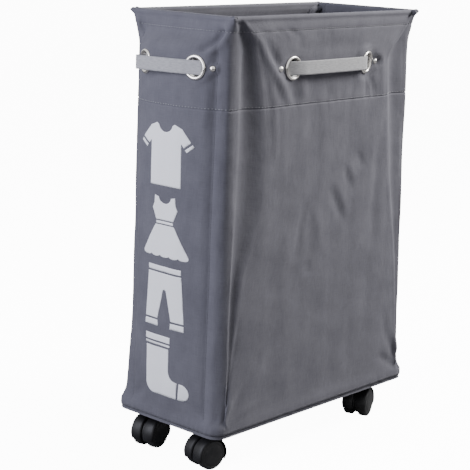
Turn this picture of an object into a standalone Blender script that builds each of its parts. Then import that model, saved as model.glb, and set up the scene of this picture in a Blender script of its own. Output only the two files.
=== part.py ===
"""Slim laundry sorter on four swivel castors: a cloth bag on a stiff base, a wire rim and four corner rods.

Metres, +Z up. The origin is on the floor under the middle of the bag. The wide sides face -Y and +Y,
the narrow sides face -X and +X.
"""
import math

import bmesh
import bpy
from mathutils import Matrix, Vector

# ---- driving dimensions -------------------------------------------------------------------------
GAP = 0.0003                     # clearance between touching pieces

BASE_LENGTH = 0.400              # base, along X
BASE_WIDTH = 0.187               # base, along Y
BASE_CORNER = 0.018              # plan radius of the base corners
BASE_Z = 0.050                   # underside of the base above the floor
COVER_CLOTH = 0.0015             # cloth under and around the board
COVER_HEIGHT = 0.014             # height of the cloth band around the board
COVER_CHAMFER = 0.0015
BOARD_THICKNESS = 0.005
BOARD_CLEARANCE = 0.0015
BOARD_CHAMFER = 0.0006

RIM_LENGTH = 0.374               # outside of the top hem, along X
RIM_WIDTH = 0.180                # outside of the top hem, along Y
RIM_Z = 0.5835                   # top of the hem above the floor
RIM_CORNER = 0.008
HEM_HEIGHT = 0.0205
HEM_CLOTH = 0.0015
HEM_CHAMFER = 0.001
WIRE_DIAMETER = 0.004

PANEL_CLOTH = 0.0015
FACING_CLOTH = 0.0012
FACING_Z = 0.469                 # stitched seam where the inner facing ends
CORNER_RADIUS = 0.010            # cloth around a corner rod
CORNER_LOW = (0.1910, 0.0915)    # corner of the cloth just above the base, half sizes along X and Y
CORNER_HIGH = (0.1665, 0.0815)   # corner of the cloth at the top of the rods
CORNER_HIGH_Z = 0.540
PANEL_Z = BASE_Z + COVER_HEIGHT + GAP
PANEL_TOP = RIM_Z - HEM_HEIGHT - GAP
PANEL_HEIGHTS = (PANEL_Z, 0.170, 0.320, FACING_Z, CORNER_HIGH_Z, PANEL_TOP)
FACING_HEIGHTS = (FACING_Z, CORNER_HIGH_Z, PANEL_TOP)
WALL = PANEL_CLOTH + GAP + FACING_CLOTH
CORNER_TRIM = 1.6                # degrees of a corner's arc left clear beside the neighbouring panel
WIDE_ARC_END = 90.0              # degrees round a corner where a wide panel runs straight on
NARROW_ARC_END = 55.0            # and where a narrow one does

WIDE_SHOULDER = 0.130            # half width of the taut middle of a wide panel
WIDE_LOW = 0.0925                # distance of its middle from the bag's centre, above the base
WIDE_HIGH = 0.0900               # and below the hem
NARROW_SHOULDERS = (0.0700, 0.024)   # where a narrow panel folds, from its corner to its middle
NARROW_BULGE_LOW = (0.1965, 0.2005)  # distance from the centre at those folds, above the base
NARROW_EYELET_TILT = math.radians(20.0)

ROD_DIAMETER = 0.008
ROD_Z = 0.0590                   # foot of a rod, clear of what lies on the board
ROD_TOP = 0.548
ROD_CHAMFER = 0.001
ROD_TIP = 0.002
SLEEVE_INNER = 0.0048
SLEEVE_OUTER = 0.0060
SLEEVE_Z = 0.0680
SLEEVE_TOP = 0.536

EYELET_INNER = 0.01125
EYELET_BARREL = 0.0125
EYELET_OUTER = 0.0155
EYELET_HEIGHT = 0.0020
EYELET_HOLE = 0.0130
EYELET_WASHER = 0.0140           # radius of the flat flange inside the bag
WASHER_THICKNESS = 0.0008
RIVET_HEAD = 0.0039
RIVET_HEIGHT = 0.0021
RIVET_SHANK = 0.0016
RIVET_HOLE = 0.0020
RIVET_CAP_THICKNESS = 0.0010
WIDE_EYELET = (0.075, 0.0900, 0.5165)    # along the side, out from the centre, height
NARROW_EYELET = (0.043, 0.2040, 0.5200)
RIVET_OFFSET = 0.0235            # from the eyelet centre, towards the corner

STRAP_WIDTH = 0.0178
STRAP_CLOTH = 0.0013
STRAP_INSIDE = 0.0046            # how far the strap reaches in behind the wall face
WIDE_STANDOFF = 0.0080           # strap centre line in front of the eyelets of a wide side
NARROW_STANDOFF = 0.0155         # and of a narrow side, whose cloth bulges between them
STRAP_BEND = 0.0030              # size of the bend where a strap comes out of its eyelet
STRAP_BOW = 0.0006               # how much further out a strap is at its middle
WIDE_STRAIGHT = 0.0350           # from an eyelet to the straight middle of the strap
NARROW_STRAIGHT = 0.0200

CASTOR_PIVOT = (0.154, 0.055)
CASTOR_TRAIL = 0.022
CASTOR_HEADINGS = {"front_left": 172.0, "back_left": 192.0, "front_right": 200.0, "back_right": 176.0}
WHEEL_RADIUS = 0.020
WHEEL_WIDTH = 0.0135
WHEEL_SPACING = 0.0225           # between the middles of a castor's two wheels
HUB_RADIUS = 0.0055
AXLE_RADIUS = 0.0023
AXLE_CHAMFER = 0.0004
AXLE_SUNK = 0.0012               # how far an axle's ends stay inside the wheels' outer faces
TREAD_ROUND = 0.0030             # rounding of a wheel's outer edge
DISH_DEPTH = 0.0018
HOOD_WEB = 0.0078                # thickness of the web between the wheels
HOOD_INNER = 0.0206
HOOD_OUTER = 0.0226
WEB_RADIUS = 0.0165
BOSS_RADIUS = 0.0042
BOSS_Z = (0.0230, 0.0462)
HOOD_ARC = (-16.0, 204.0)        # degrees round the axle that the guard covers, from its front lip
WEB_BACK = ((0.012, 0.0412), (-0.004, 0.0412), (-0.004, 0.0250), (0.010, 0.0080))
STEM_RADIUS = 0.0030
STEM_CLEARANCE = 0.0003
STEM_Z = 0.0290
PLATE_SIZE = 0.038
PLATE_CORNER = 0.005
PLATE_THICKNESS = 0.0020
SCREW_SPACING = 0.027
SCREW_HEAD = 0.0031
SCREW_HEIGHT = 0.0013

WHEEL_SIDES = 24
EYELET_SIDES = 16
STEM_SIDES = 16
AXLE_SIDES = 12
RIVET_SIDES = 8
WIRE_SIDES = 8
ROD_SIDES = 12

COLOURS = {
    "bag_cloth": ((0.130, 0.135, 0.150), 0.85, 0.0),
    "facing_cloth": ((0.070, 0.072, 0.080), 0.85, 0.0),
    "webbing": ((0.480, 0.490, 0.510), 0.75, 0.0),
    "bright_steel": ((0.720, 0.710, 0.690), 0.22, 1.0),
    "rod_aluminium": ((0.620, 0.630, 0.640), 0.35, 1.0),
    "board": ((0.160, 0.120, 0.090), 0.70, 0.0),
    "castor_plastic": ((0.012, 0.012, 0.013), 0.40, 0.0),
    "wheel_plastic": ((0.018, 0.018, 0.020), 0.45, 0.0),
    "plate_steel": ((0.350, 0.350, 0.360), 0.40, 1.0),
}

SIDES = {"front": 0.0, "right": 90.0, "back": 180.0, "left": 270.0}   # turn about Z of each side


# ---- general helpers ----------------------------------------------------------------------------
def clear_scene():
    for item in list(bpy.data.objects):
        bpy.data.objects.remove(item, do_unlink=True)


def make_material(name):
    colour, roughness, metallic = COLOURS[name]
    material = bpy.data.materials.new(name)
    material.use_nodes = True
    shader = material.node_tree.nodes["Principled BSDF"]
    shader.inputs["Base Color"].default_value = (*colour, 1.0)
    shader.inputs["Roughness"].default_value = roughness
    shader.inputs["Metallic"].default_value = metallic
    material.diffuse_color = (*colour, 1.0)
    return material


def add_object(name, points, faces, material, place=None, smooth=False):
    """One named object from points and faces, with its faces pointing out."""
    mesh = bpy.data.meshes.new(name)
    shape = bmesh.new()
    corners = [shape.verts.new(point) for point in points]
    for face in faces:
        shape.faces.new([corners[index] for index in face])
    bmesh.ops.recalc_face_normals(shape, faces=shape.faces)
    shape.to_mesh(mesh)
    shape.free()
    mesh.materials.append(material)
    if smooth:
        mesh.shade_smooth()
        mesh.set_sharp_from_angle(angle=math.radians(35))
    item = bpy.data.objects.new(name, mesh)
    bpy.context.collection.objects.link(item)
    if place is not None:
        item.matrix_world = place
    return item


def stack(loops):
    """Points and faces of a solid whose cross-sections are the given closed loops, capped at both ends."""
    count = len(loops[0])
    points = [point for loop in loops for point in loop]
    faces = []
    for level in range(len(loops) - 1):
        for index in range(count):
            after = (index + 1) % count
            low, high = level * count, (level + 1) * count
            faces.append((low + index, low + after, high + after, high + index))
    faces.append(tuple(range(count))[::-1])
    faces.append(tuple(range((len(loops) - 1) * count, len(loops) * count)))
    return points, faces


def hoop(loops):
    """Points and faces of a closed ring whose cross-sections are the given loops."""
    count = len(loops[0])
    points = [point for loop in loops for point in loop]
    faces = []
    for step in range(len(loops)):
        following = (step + 1) % len(loops)
        for index in range(count):
            after = (index + 1) % count
            faces.append((step * count + index, step * count + after,
                          following * count + after, following * count + index))
    return points, faces


def thick_sheet(outer, inner, closed):
    """Points and faces of a sheet between two matching grids of points, each a list of level rows.

    closed joins the end of each row to its start.
    """
    rows, count = len(outer), len(outer[0])
    points = [point for row in outer + inner for point in row]
    shift = rows * count
    spans = count if closed else count - 1
    faces = []
    for level in range(rows - 1):
        for index in range(spans):
            after = (index + 1) % count
            low, low_after = level * count + index, level * count + after
            high, high_after = low + count, low_after + count
            faces += [(low, low_after, high_after), (low, high_after, high)]
            faces += [(shift + low, shift + high_after, shift + low_after),
                      (shift + low, shift + high, shift + high_after)]
    for row in (0, rows - 1):
        for index in range(spans):
            here, after = row * count + index, row * count + (index + 1) % count
            faces.append((here, after, shift + after, shift + here))
    if not closed:
        for column in (0, count - 1):
            for level in range(rows - 1):
                here = level * count + column
                faces.append((here, here + count, shift + here + count, shift + here))
    return points, faces


def turned(profile, segments):
    """Points and faces of a ring turned about Z from a closed (radius, height) profile."""
    loops = []
    for step in range(segments):
        angle = math.tau * step / segments
        loops.append([Vector((radius * math.cos(angle), radius * math.sin(angle), height))
                      for radius, height in profile])
    return hoop(loops)


def turned_solid(profile, segments):
    """Points and faces of a solid turned about Z; profile runs upwards and leaves out the axis."""
    loops = []
    for radius, height in profile:
        loops.append([Vector((radius * math.cos(math.tau * step / segments),
                              radius * math.sin(math.tau * step / segments), height))
                      for step in range(segments)])
    return stack(loops)


def arc(centre, radius, start, end, steps):
    """Points of a plane arc from start to end degrees."""
    points = []
    for step in range(steps + 1):
        angle = math.radians(start + (end - start) * step / steps)
        points.append((centre[0] + radius * math.cos(angle), centre[1] + radius * math.sin(angle)))
    return points


def rounded_rectangle(length, width, radius, steps=4):
    points = []
    for side_x, side_y, start in ((1, 1, 0), (-1, 1, 90), (-1, -1, 180), (1, -1, 270)):
        centre = (side_x * (length / 2 - radius), side_y * (width / 2 - radius))
        points += arc(centre, radius, start, start + 90, steps)
    return points


def cut(item, cutter):
    """Subtracts cutter, which stays hidden, from item."""
    modifier = item.modifiers.new("cut_" + cutter.name, "BOOLEAN")
    modifier.operation = "DIFFERENCE"
    modifier.solver = "EXACT"
    modifier.object = cutter


def add_cutter(name, points, faces, place=None):
    cutter = add_object(name, points, faces, materials["board"], place)
    cutter.hide_render = True
    cutter.display_type = "WIRE"
    return cutter


def join_solids(name, solids, material):
    """One object that is the union of several closed solids, given as (points, faces)."""
    pieces = [add_object(name + "_part", points, faces, material) for points, faces in solids]
    base = pieces[0]
    for other in pieces[1:]:
        modifier = base.modifiers.new("union", "BOOLEAN")
        modifier.operation = "UNION"
        modifier.solver = "EXACT"
        modifier.object = other
    graph = bpy.context.evaluated_depsgraph_get()
    mesh = bpy.data.meshes.new_from_object(base.evaluated_get(graph))
    for piece in pieces:
        bpy.data.objects.remove(piece, do_unlink=True)
    mesh.name = name
    item = bpy.data.objects.new(name, mesh)
    bpy.context.collection.objects.link(item)
    return item


# ---- the bag's outline --------------------------------------------------------------------------
def between(low, high, share):
    return low + (high - low) * share


def corner_at(z):
    """Half sizes of the cloth's corner at a height: straight along the rods, then out to the hem."""
    if z <= CORNER_HIGH_Z:
        share = (z - PANEL_Z) / (CORNER_HIGH_Z - PANEL_Z)
        return tuple(between(low, high, share) for low, high in zip(CORNER_LOW, CORNER_HIGH))
    share = (z - CORNER_HIGH_Z) / (PANEL_TOP - CORNER_HIGH_Z)
    rim = (RIM_LENGTH / 2, RIM_WIDTH / 2)
    return tuple(between(low, high, share) for low, high in zip(CORNER_HIGH, rim))


def shoulders_at(side, z):
    """Folds of a side panel at a height, as (along the side, out from the centre), from corner to middle."""
    share = min(1.0, (z - PANEL_Z) / (FACING_Z - PANEL_Z))
    if side in ("front", "back"):
        return [(WIDE_SHOULDER, between(WIDE_LOW, WIDE_HIGH, share))]
    eyelet_along, eyelet_out, _ = NARROW_EYELET
    folds = []
    for along, low in zip(NARROW_SHOULDERS, NARROW_BULGE_LOW):
        high = eyelet_out + (eyelet_along - along) * math.tan(NARROW_EYELET_TILT)
        out = between(low, high, share)
        if z > CORNER_HIGH_Z:
            rise = (z - CORNER_HIGH_Z) / (PANEL_TOP - CORNER_HIGH_Z)
            out = between(out, RIM_LENGTH / 2, rise)
        folds.append((along, out))
    return folds


def offset_line(points, inset):
    """Moves the inner points of an open line sideways, to the right of its direction."""
    moved = []
    for index in range(1, len(points) - 1):
        before = (Vector(points[index]) - Vector(points[index - 1])).normalized()
        after = (Vector(points[index + 1]) - Vector(points[index])).normalized()
        normal_before = Vector((before.y, -before.x))
        normal_after = Vector((after.y, -after.x))
        bisector = (normal_before + normal_after).normalized()
        moved.append(Vector(points[index]) + bisector * inset / bisector.dot(normal_before))
    return moved


def side_line(side, z, inset, trim=0.0):
    """Outline of one side at a height, from its left corner to its right one, moved in by inset.

    Points are (along, out). trim, in degrees, leaves room beside the neighbouring side.
    """
    half_x, half_y = corner_at(z)
    half_along, out = (half_x, half_y) if side in ("front", "back") else (half_y, half_x)
    centre = (half_along - CORNER_RADIUS, out - CORNER_RADIUS)
    last = WIDE_ARC_END if side in ("front", "back") else NARROW_ARC_END
    outer_arc = arc(centre, CORNER_RADIUS, 45.0 + trim, last, 2)
    inner_arc = arc(centre, CORNER_RADIUS - inset, 45.0 + trim, last, 2)
    folds = shoulders_at(side, z)
    right_outer = outer_arc + folds
    mirrored = [(-along, reach) for along, reach in reversed(right_outer)]
    whole = right_outer + mirrored
    moved = offset_line(whole, -inset)
    first = len(outer_arc) - 1
    inner_folds = [tuple(point) for point in moved[first:first + len(folds)]]
    right_half = inner_arc + inner_folds
    return [(-along, reach) for along, reach in right_half] + list(reversed(right_half))


def to_world(side, along, out, z):
    """A side's own (along, out, height) as a world point; seen from outside, along runs to the right."""
    return Matrix.Rotation(math.radians(SIDES[side]), 4, "Z") @ Vector((along, -out, z))


def build_panel(side):
    outer, inner = [], []
    for z in PANEL_HEIGHTS:
        for inset, rows in ((0.0, outer), (PANEL_CLOTH, inner)):
            line = side_line(side, z, inset, CORNER_TRIM)
            rows.append([to_world(side, along, out, z) for along, out in line])
    panel = add_object(side + "_panel", *thick_sheet(outer, inner, False), materials["bag_cloth"])
    cut(panel, hole_cutters[side])
    return panel


def build_facing():
    """Inner facing: one closed strip of cloth behind the eyelets, all round the bag."""
    outer, inner = [], []
    for inset, rows in ((PANEL_CLOTH + GAP, outer), (PANEL_CLOTH + GAP + FACING_CLOTH, inner)):
        for z in FACING_HEIGHTS:
            ring = []
            for side in SIDES:
                ring += [to_world(side, along, out, z) for along, out in side_line(side, z, inset)[:-1]]
            rows.append(ring)
    facing = add_object("top_facing", *thick_sheet(outer, inner, True), materials["facing_cloth"])
    for side in SIDES:
        cut(facing, hole_cutters[side])
    return facing


def build_hem():
    """Hem folded down over the rim wire, open along its lower edge."""
    depth = 2 * HEM_CLOTH + 2 * GAP + WIRE_DIAMETER
    top, bottom = RIM_Z, RIM_Z - HEM_HEIGHT
    roof = RIM_Z - HEM_CLOTH
    section = ((0.0, bottom), (0.0, top - HEM_CHAMFER), (HEM_CHAMFER, top), (depth - HEM_CHAMFER, top),
               (depth, top - HEM_CHAMFER), (depth, bottom), (depth - HEM_CLOTH, bottom),
               (depth - HEM_CLOTH, roof), (HEM_CLOTH, roof), (HEM_CLOTH, bottom))
    rings = [rounded_rectangle(RIM_LENGTH - 2 * inset, RIM_WIDTH - 2 * inset, max(RIM_CORNER - inset, GAP))
             for inset, _ in section]
    loops = []
    for index in range(len(rings[0])):
        loops.append([Vector((*ring[index], height)) for ring, (_, height) in zip(rings, section)])
    return add_object("top_hem", *hoop(loops), materials["bag_cloth"])


def build_wire():
    inset = HEM_CLOTH + GAP + WIRE_DIAMETER / 2
    height = RIM_Z - HEM_CLOTH - GAP - WIRE_DIAMETER / 2
    path = rounded_rectangle(RIM_LENGTH - 2 * inset, RIM_WIDTH - 2 * inset, RIM_CORNER - inset, 4)
    path = [Vector((x, y, height)) for x, y in path]
    loops = []
    for index, point in enumerate(path):
        before, after = path[index - 1], path[(index + 1) % len(path)]
        tangent = (after - before).normalized()
        side = tangent.cross(Vector((0, 0, 1)))
        loop = []
        for step in range(WIRE_SIDES):
            angle = math.tau * step / WIRE_SIDES
            spoke = side * math.cos(angle) + Vector((0, 0, math.sin(angle)))
            loop.append(point + WIRE_DIAMETER / 2 * spoke)
        loops.append(loop)
    return add_object("rim_wire", *hoop(loops), materials["plate_steel"], smooth=True)


# ---- the base -----------------------------------------------------------------------------------
def build_bottom_cover():
    """Cloth under the board, with a band around its edge."""
    levels = ((COVER_CHAMFER, 0.0), (0.0, COVER_CHAMFER), (0.0, COVER_HEIGHT), (COVER_CLOTH, COVER_HEIGHT),
              (COVER_CLOTH, COVER_CLOTH))
    loops = []
    for inset, rise in levels:
        ring = rounded_rectangle(BASE_LENGTH - 2 * inset, BASE_WIDTH - 2 * inset, BASE_CORNER - inset)
        loops.append([Vector((x, y, BASE_Z + rise)) for x, y in ring])
    return add_object("bottom_cover", *stack(loops), materials["bag_cloth"])


def build_board():
    inset = COVER_CLOTH + BOARD_CLEARANCE
    low = BASE_Z + COVER_CLOTH + GAP
    high = low + BOARD_THICKNESS
    loops = []
    for shrink, z in ((BOARD_CHAMFER, low), (0.0, low + BOARD_CHAMFER), (0.0, high - BOARD_CHAMFER),
                      (BOARD_CHAMFER, high)):
        ring = rounded_rectangle(BASE_LENGTH - 2 * (inset + shrink), BASE_WIDTH - 2 * (inset + shrink),
                                 BASE_CORNER - inset - shrink)
        loops.append([Vector((x, y, z)) for x, y in ring])
    return add_object("base_board", *stack(loops), materials["board"])


# ---- corner rods --------------------------------------------------------------------------------
def rod_point(side_x, side_y, z):
    share = (z - PANEL_Z) / (CORNER_HIGH_Z - PANEL_Z)
    half_x, half_y = (between(low, high, share) for low, high in zip(CORNER_LOW, CORNER_HIGH))
    return Vector((side_x * (half_x - CORNER_RADIUS), side_y * (half_y - CORNER_RADIUS), z))


def rod_place(side_x, side_y, low, high):
    """Matrix of a corner rod's axis, from its low point, and its length."""
    start = rod_point(side_x, side_y, low)
    end = rod_point(side_x, side_y, high)
    turn = (end - start).to_track_quat("Z", "Y").to_matrix().to_4x4()
    return Matrix.Translation(start) @ turn, (end - start).length


def build_rod(corner, side_x, side_y):
    radius = ROD_DIAMETER / 2
    place, length = rod_place(side_x, side_y, ROD_Z, ROD_TOP)
    profile = ((radius - ROD_CHAMFER, 0.0), (radius, ROD_CHAMFER), (radius, length - ROD_TIP),
               (radius - ROD_TIP, length))
    solid = turned_solid(profile, ROD_SIDES)
    return add_object(corner + "_rod", *solid, materials["rod_aluminium"], place, True)


def build_sleeve(corner, side_x, side_y):
    place, length = rod_place(side_x, side_y, SLEEVE_Z, SLEEVE_TOP)
    profile = ((SLEEVE_OUTER, 0.0), (SLEEVE_OUTER, length), (SLEEVE_INNER, length), (SLEEVE_INNER, 0.0))
    solid = turned(profile, ROD_SIDES)
    return add_object(corner + "_sleeve", *solid, materials["facing_cloth"], place, True)


# ---- handles ------------------------------------------------------------------------------------
def wall_frame(side, sign, shift):
    """Matrix at an eyelet, or shift towards the corner from it, with +Z out of the wall."""
    wide = side in ("front", "back")
    along, out, z = WIDE_EYELET if wide else NARROW_EYELET
    tilt = 0.0 if wide else NARROW_EYELET_TILT
    along_here = along + shift * math.cos(tilt)
    out_here = out - shift * math.sin(tilt)
    turn = Matrix.Rotation(math.radians(SIDES[side]), 4, "Z")
    move = Matrix.Translation(Vector((sign * along_here, -out_here, z)))
    face = Matrix.Rotation(sign * tilt, 4, "Z") @ Matrix.Rotation(math.radians(90), 4, "X")
    return turn @ move @ face


def hole_solid(place, radius, segments):
    points, faces = turned_solid(((radius, -0.012), (radius, 0.012)), segments)
    return [place @ point for point in points], faces


def build_hole_cutter(side):
    points, faces = [], []
    for sign in (-1, 1):
        for shift, radius, segments in ((0.0, EYELET_HOLE, EYELET_SIDES),
                                        (RIVET_OFFSET, RIVET_HOLE, RIVET_SIDES)):
            more_points, more_faces = hole_solid(wall_frame(side, sign, shift), radius, segments)
            faces += [tuple(index + len(points) for index in face) for face in more_faces]
            points += more_points
    return add_cutter(side + "_holes", points, faces)


def build_eyelet(side, sign):
    """Pressed ring: a domed flange outside, a barrel through the cloth and a flat flange inside."""
    back = -WALL - GAP
    crown = (EYELET_OUTER - EYELET_INNER) * 0.3
    profile = ((EYELET_INNER, back - WASHER_THICKNESS), (EYELET_INNER, GAP + 0.4 * EYELET_HEIGHT),
               (EYELET_INNER + crown, GAP + EYELET_HEIGHT), (EYELET_OUTER - crown, GAP + EYELET_HEIGHT),
               (EYELET_OUTER, GAP + 0.25 * EYELET_HEIGHT), (EYELET_OUTER, GAP),
               (EYELET_BARREL, GAP), (EYELET_BARREL, back), (EYELET_WASHER, back),
               (EYELET_WASHER, back - WASHER_THICKNESS))
    name = "%s_eyelet_%s" % (side, "right" if sign > 0 else "left")
    return add_object(name, *turned(profile, EYELET_SIDES), materials["bright_steel"],
                      wall_frame(side, sign, 0.0), True)


def build_rivet(side, sign):
    """Domed head outside, shank through the cloth and a flat cap inside."""
    back = -WALL - GAP
    profile = ((0.8 * RIVET_HEAD, back - RIVET_CAP_THICKNESS), (0.9 * RIVET_HEAD, back), (RIVET_SHANK, back),
               (RIVET_SHANK, GAP), (RIVET_HEAD, GAP), (0.9 * RIVET_HEAD, GAP + 0.43 * RIVET_HEIGHT),
               (0.6 * RIVET_HEAD, GAP + 0.81 * RIVET_HEIGHT), (0.2 * RIVET_HEAD, GAP + RIVET_HEIGHT))
    name = "%s_rivet_%s" % (side, "right" if sign > 0 else "left")
    place = wall_frame(side, sign, RIVET_OFFSET)
    return add_object(name, *turned_solid(profile, RIVET_SIDES), materials["bright_steel"], place, True)


def strap_path(side):
    """Centre line of a strap seen from above, as (along, out): in one eyelet, across and in the other."""
    wide = side in ("front", "back")
    along, out, _ = WIDE_EYELET if wide else NARROW_EYELET
    reach = out + (WIDE_STANDOFF if wide else NARROW_STANDOFF)
    straight = WIDE_STRAIGHT if wide else NARROW_STRAIGHT
    half = [(along, out - STRAP_INSIDE), (along, reach - STRAP_BEND),
            (along - 0.3 * STRAP_BEND, reach - 0.3 * STRAP_BEND), (along - STRAP_BEND, reach),
            (along - straight, reach + STRAP_BOW)]
    return [(-u, v) for u, v in half] + list(reversed(half))


def build_strap(side):
    path = [Vector(point) for point in strap_path(side)]
    height = (WIDE_EYELET if side in ("front", "back") else NARROW_EYELET)[2]
    ends = [path[0] - (path[1] - path[0]), path[-1] + (path[-1] - path[-2])]
    line = [ends[0]] + path + [ends[1]]
    outer = offset_line(line, -STRAP_CLOTH / 2)
    inner = offset_line(line, STRAP_CLOTH / 2)
    loop = [tuple(point) for point in outer] + [tuple(point) for point in reversed(inner)]
    loops = []
    for z in (height - STRAP_WIDTH / 2, height + STRAP_WIDTH / 2):
        loops.append([to_world(side, along, out, z) for along, out in loop])
    return add_object(side + "_strap", *stack(loops), materials["webbing"])


# ---- castors ------------------------------------------------------------------------------------
def extruded(outline, low, high):
    """Solid from a closed outline in the X-Z plane, from low to high along Y."""
    return stack([[Vector((x, y, z)) for x, z in outline] for y in (low, high)])


def placed(solid, place):
    points, faces = solid
    return [place @ point for point in points], faces


def castor_frame(corner, side_x, side_y):
    """Matrix of a castor: at the floor under its pivot, with +X the way that it trails."""
    x, y = CASTOR_PIVOT
    turn = Matrix.Rotation(math.radians(CASTOR_HEADINGS[corner]), 4, "Z")
    return Matrix.Translation(Vector((side_x * x, side_y * y, 0.0))) @ turn


def build_plate(corner, frame):
    """Steel plate with its stem and four screw heads."""
    top = BASE_Z - GAP
    low = top - PLATE_THICKNESS
    square = rounded_rectangle(PLATE_SIZE, PLATE_SIZE, PLATE_CORNER, 3)
    plate = stack([[Vector((x, y, z)) for x, y in square] for z in (low, top)])
    overlap = 0.25 * PLATE_THICKNESS
    stem = turned_solid(((0.8 * STEM_RADIUS, STEM_Z), (STEM_RADIUS, STEM_Z + 0.2 * STEM_RADIUS),
                         (STEM_RADIUS, low + overlap)), STEM_SIDES)
    solids = [plate, stem]
    for side_x in (-1, 1):
        for side_y in (-1, 1):
            head = turned_solid(((0.45 * SCREW_HEAD, low - SCREW_HEIGHT),
                                 (0.94 * SCREW_HEAD, low - 0.5 * SCREW_HEIGHT),
                                 (SCREW_HEAD, low + overlap)), RIVET_SIDES)
            move = Matrix.Translation(Vector((side_x * SCREW_SPACING / 2, side_y * SCREW_SPACING / 2, 0.0)))
            solids.append(placed(head, move))
    plate_object = join_solids(corner + "_castor_plate", solids, materials["plate_steel"])
    plate_object.matrix_world = Matrix.Translation(frame.to_translation())
    return plate_object


def build_hood(corner, frame):
    """Web between the wheels, guard over them and boss around the stem, in one moulding."""
    centre = (CASTOR_TRAIL, WHEEL_RADIUS)
    width = WHEEL_SPACING + WHEEL_WIDTH
    front_lip, back_lip = HOOD_ARC
    outer_arc = arc(centre, HOOD_OUTER, front_lip, back_lip, 12)
    guard_line = outer_arc + arc(centre, HOOD_INNER, back_lip, front_lip, 12)
    guard = extruded(guard_line, -width / 2, width / 2)
    web = extruded(arc(centre, WEB_RADIUS, -90.0, 60.0, 6) + list(WEB_BACK), -HOOD_WEB / 2, HOOD_WEB / 2)
    low, high = BOSS_Z
    boss = turned_solid(((0.82 * BOSS_RADIUS, low), (BOSS_RADIUS, low + 0.18 * BOSS_RADIUS),
                         (BOSS_RADIUS, high)), STEM_SIDES)
    hood = join_solids(corner + "_castor_hood", [web, guard, boss], materials["castor_plastic"])
    hood.matrix_world = frame
    stem_hole = STEM_RADIUS + STEM_CLEARANCE
    bore = turned_solid(((stem_hole, STEM_Z - 5 * STEM_CLEARANCE), (stem_hole, high + BOSS_RADIUS)),
                        STEM_SIDES)
    cut(hood, add_cutter(corner + "_stem_bore", *bore, frame))
    axle_hole = AXLE_RADIUS + GAP
    axle_bore = turned_solid(((axle_hole, -WHEEL_SPACING / 2), (axle_hole, WHEEL_SPACING / 2)), AXLE_SIDES)
    cut(hood, add_cutter(corner + "_axle_bore", *axle_bore, frame @ axle_frame()))
    return hood


def axle_frame():
    """Matrix in a castor's frame that lays Z along its axle."""
    lie = Matrix.Rotation(math.radians(-90), 4, "X")
    return Matrix.Translation(Vector((CASTOR_TRAIL, 0.0, WHEEL_RADIUS))) @ lie


def build_axle(corner, frame):
    half = (WHEEL_SPACING + WHEEL_WIDTH) / 2 - AXLE_SUNK
    profile = ((AXLE_RADIUS - AXLE_CHAMFER, -half), (AXLE_RADIUS, AXLE_CHAMFER - half),
               (AXLE_RADIUS, half - AXLE_CHAMFER), (AXLE_RADIUS - AXLE_CHAMFER, half))
    solid = turned_solid(profile, AXLE_SIDES)
    return add_object(corner + "_castor_axle", *solid, materials["plate_steel"], frame @ axle_frame(), True)


def build_wheel(corner, frame, sign):
    """Twin castor wheel: rounded tread, dished outer face and a hub."""
    half = WHEEL_WIDTH / 2
    bore = AXLE_RADIUS + GAP
    profile = ((bore, -half), (WHEEL_RADIUS - DISH_DEPTH, -half), (WHEEL_RADIUS, DISH_DEPTH - half),
               (WHEEL_RADIUS, half - TREAD_ROUND),
               (WHEEL_RADIUS - 0.3 * TREAD_ROUND, half - 0.3 * TREAD_ROUND),
               (WHEEL_RADIUS - TREAD_ROUND, half),
               (HUB_RADIUS + DISH_DEPTH, half - DISH_DEPTH), (HUB_RADIUS, half - GAP), (bore, half - GAP))
    place = frame @ axle_frame() @ Matrix.Translation(Vector((0.0, 0.0, sign * WHEEL_SPACING / 2)))
    if sign < 0:
        place = place @ Matrix.Rotation(math.pi, 4, "X")
    name = "%s_wheel_%s" % (corner, "outer" if sign > 0 else "inner")
    return add_object(name, *turned(profile, WHEEL_SIDES), materials["wheel_plastic"], place, True)


# ---- the whole object ---------------------------------------------------------------------------
CORNERS = {"front_left": (-1, -1), "front_right": (1, -1), "back_left": (-1, 1), "back_right": (1, 1)}

clear_scene()
materials = {name: make_material(name) for name in COLOURS}
hole_cutters = {side: build_hole_cutter(side) for side in SIDES}

build_bottom_cover()
build_board()
for side_name in SIDES:
    build_panel(side_name)
build_facing()
build_hem()
build_wire()

for corner_name, (sign_x, sign_y) in CORNERS.items():
    build_sleeve(corner_name, sign_x, sign_y)
    build_rod(corner_name, sign_x, sign_y)

for side_name in SIDES:
    for hand in (-1, 1):
        build_eyelet(side_name, hand)
        build_rivet(side_name, hand)
    build_strap(side_name)

for corner_name, (sign_x, sign_y) in CORNERS.items():
    castor = castor_frame(corner_name, sign_x, sign_y)
    build_plate(corner_name, castor)
    build_hood(corner_name, castor)
    build_axle(corner_name, castor)
    for hand in (-1, 1):
        build_wheel(corner_name, castor, hand)
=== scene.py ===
"""Looks of a slim laundry sorter on castors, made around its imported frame.

Metres, +Z up. The wide sides face -Y and +Y and the narrow sides -X and +X. A side's own coordinates
are (along, out, height): seen from outside, along runs to the right and out comes towards the viewer.
Tables of points are written in millimetres inside mm(), which turns them into metres.
"""
import math

import bmesh
import bpy
import numpy as np
from mathutils import Matrix, Vector


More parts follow.
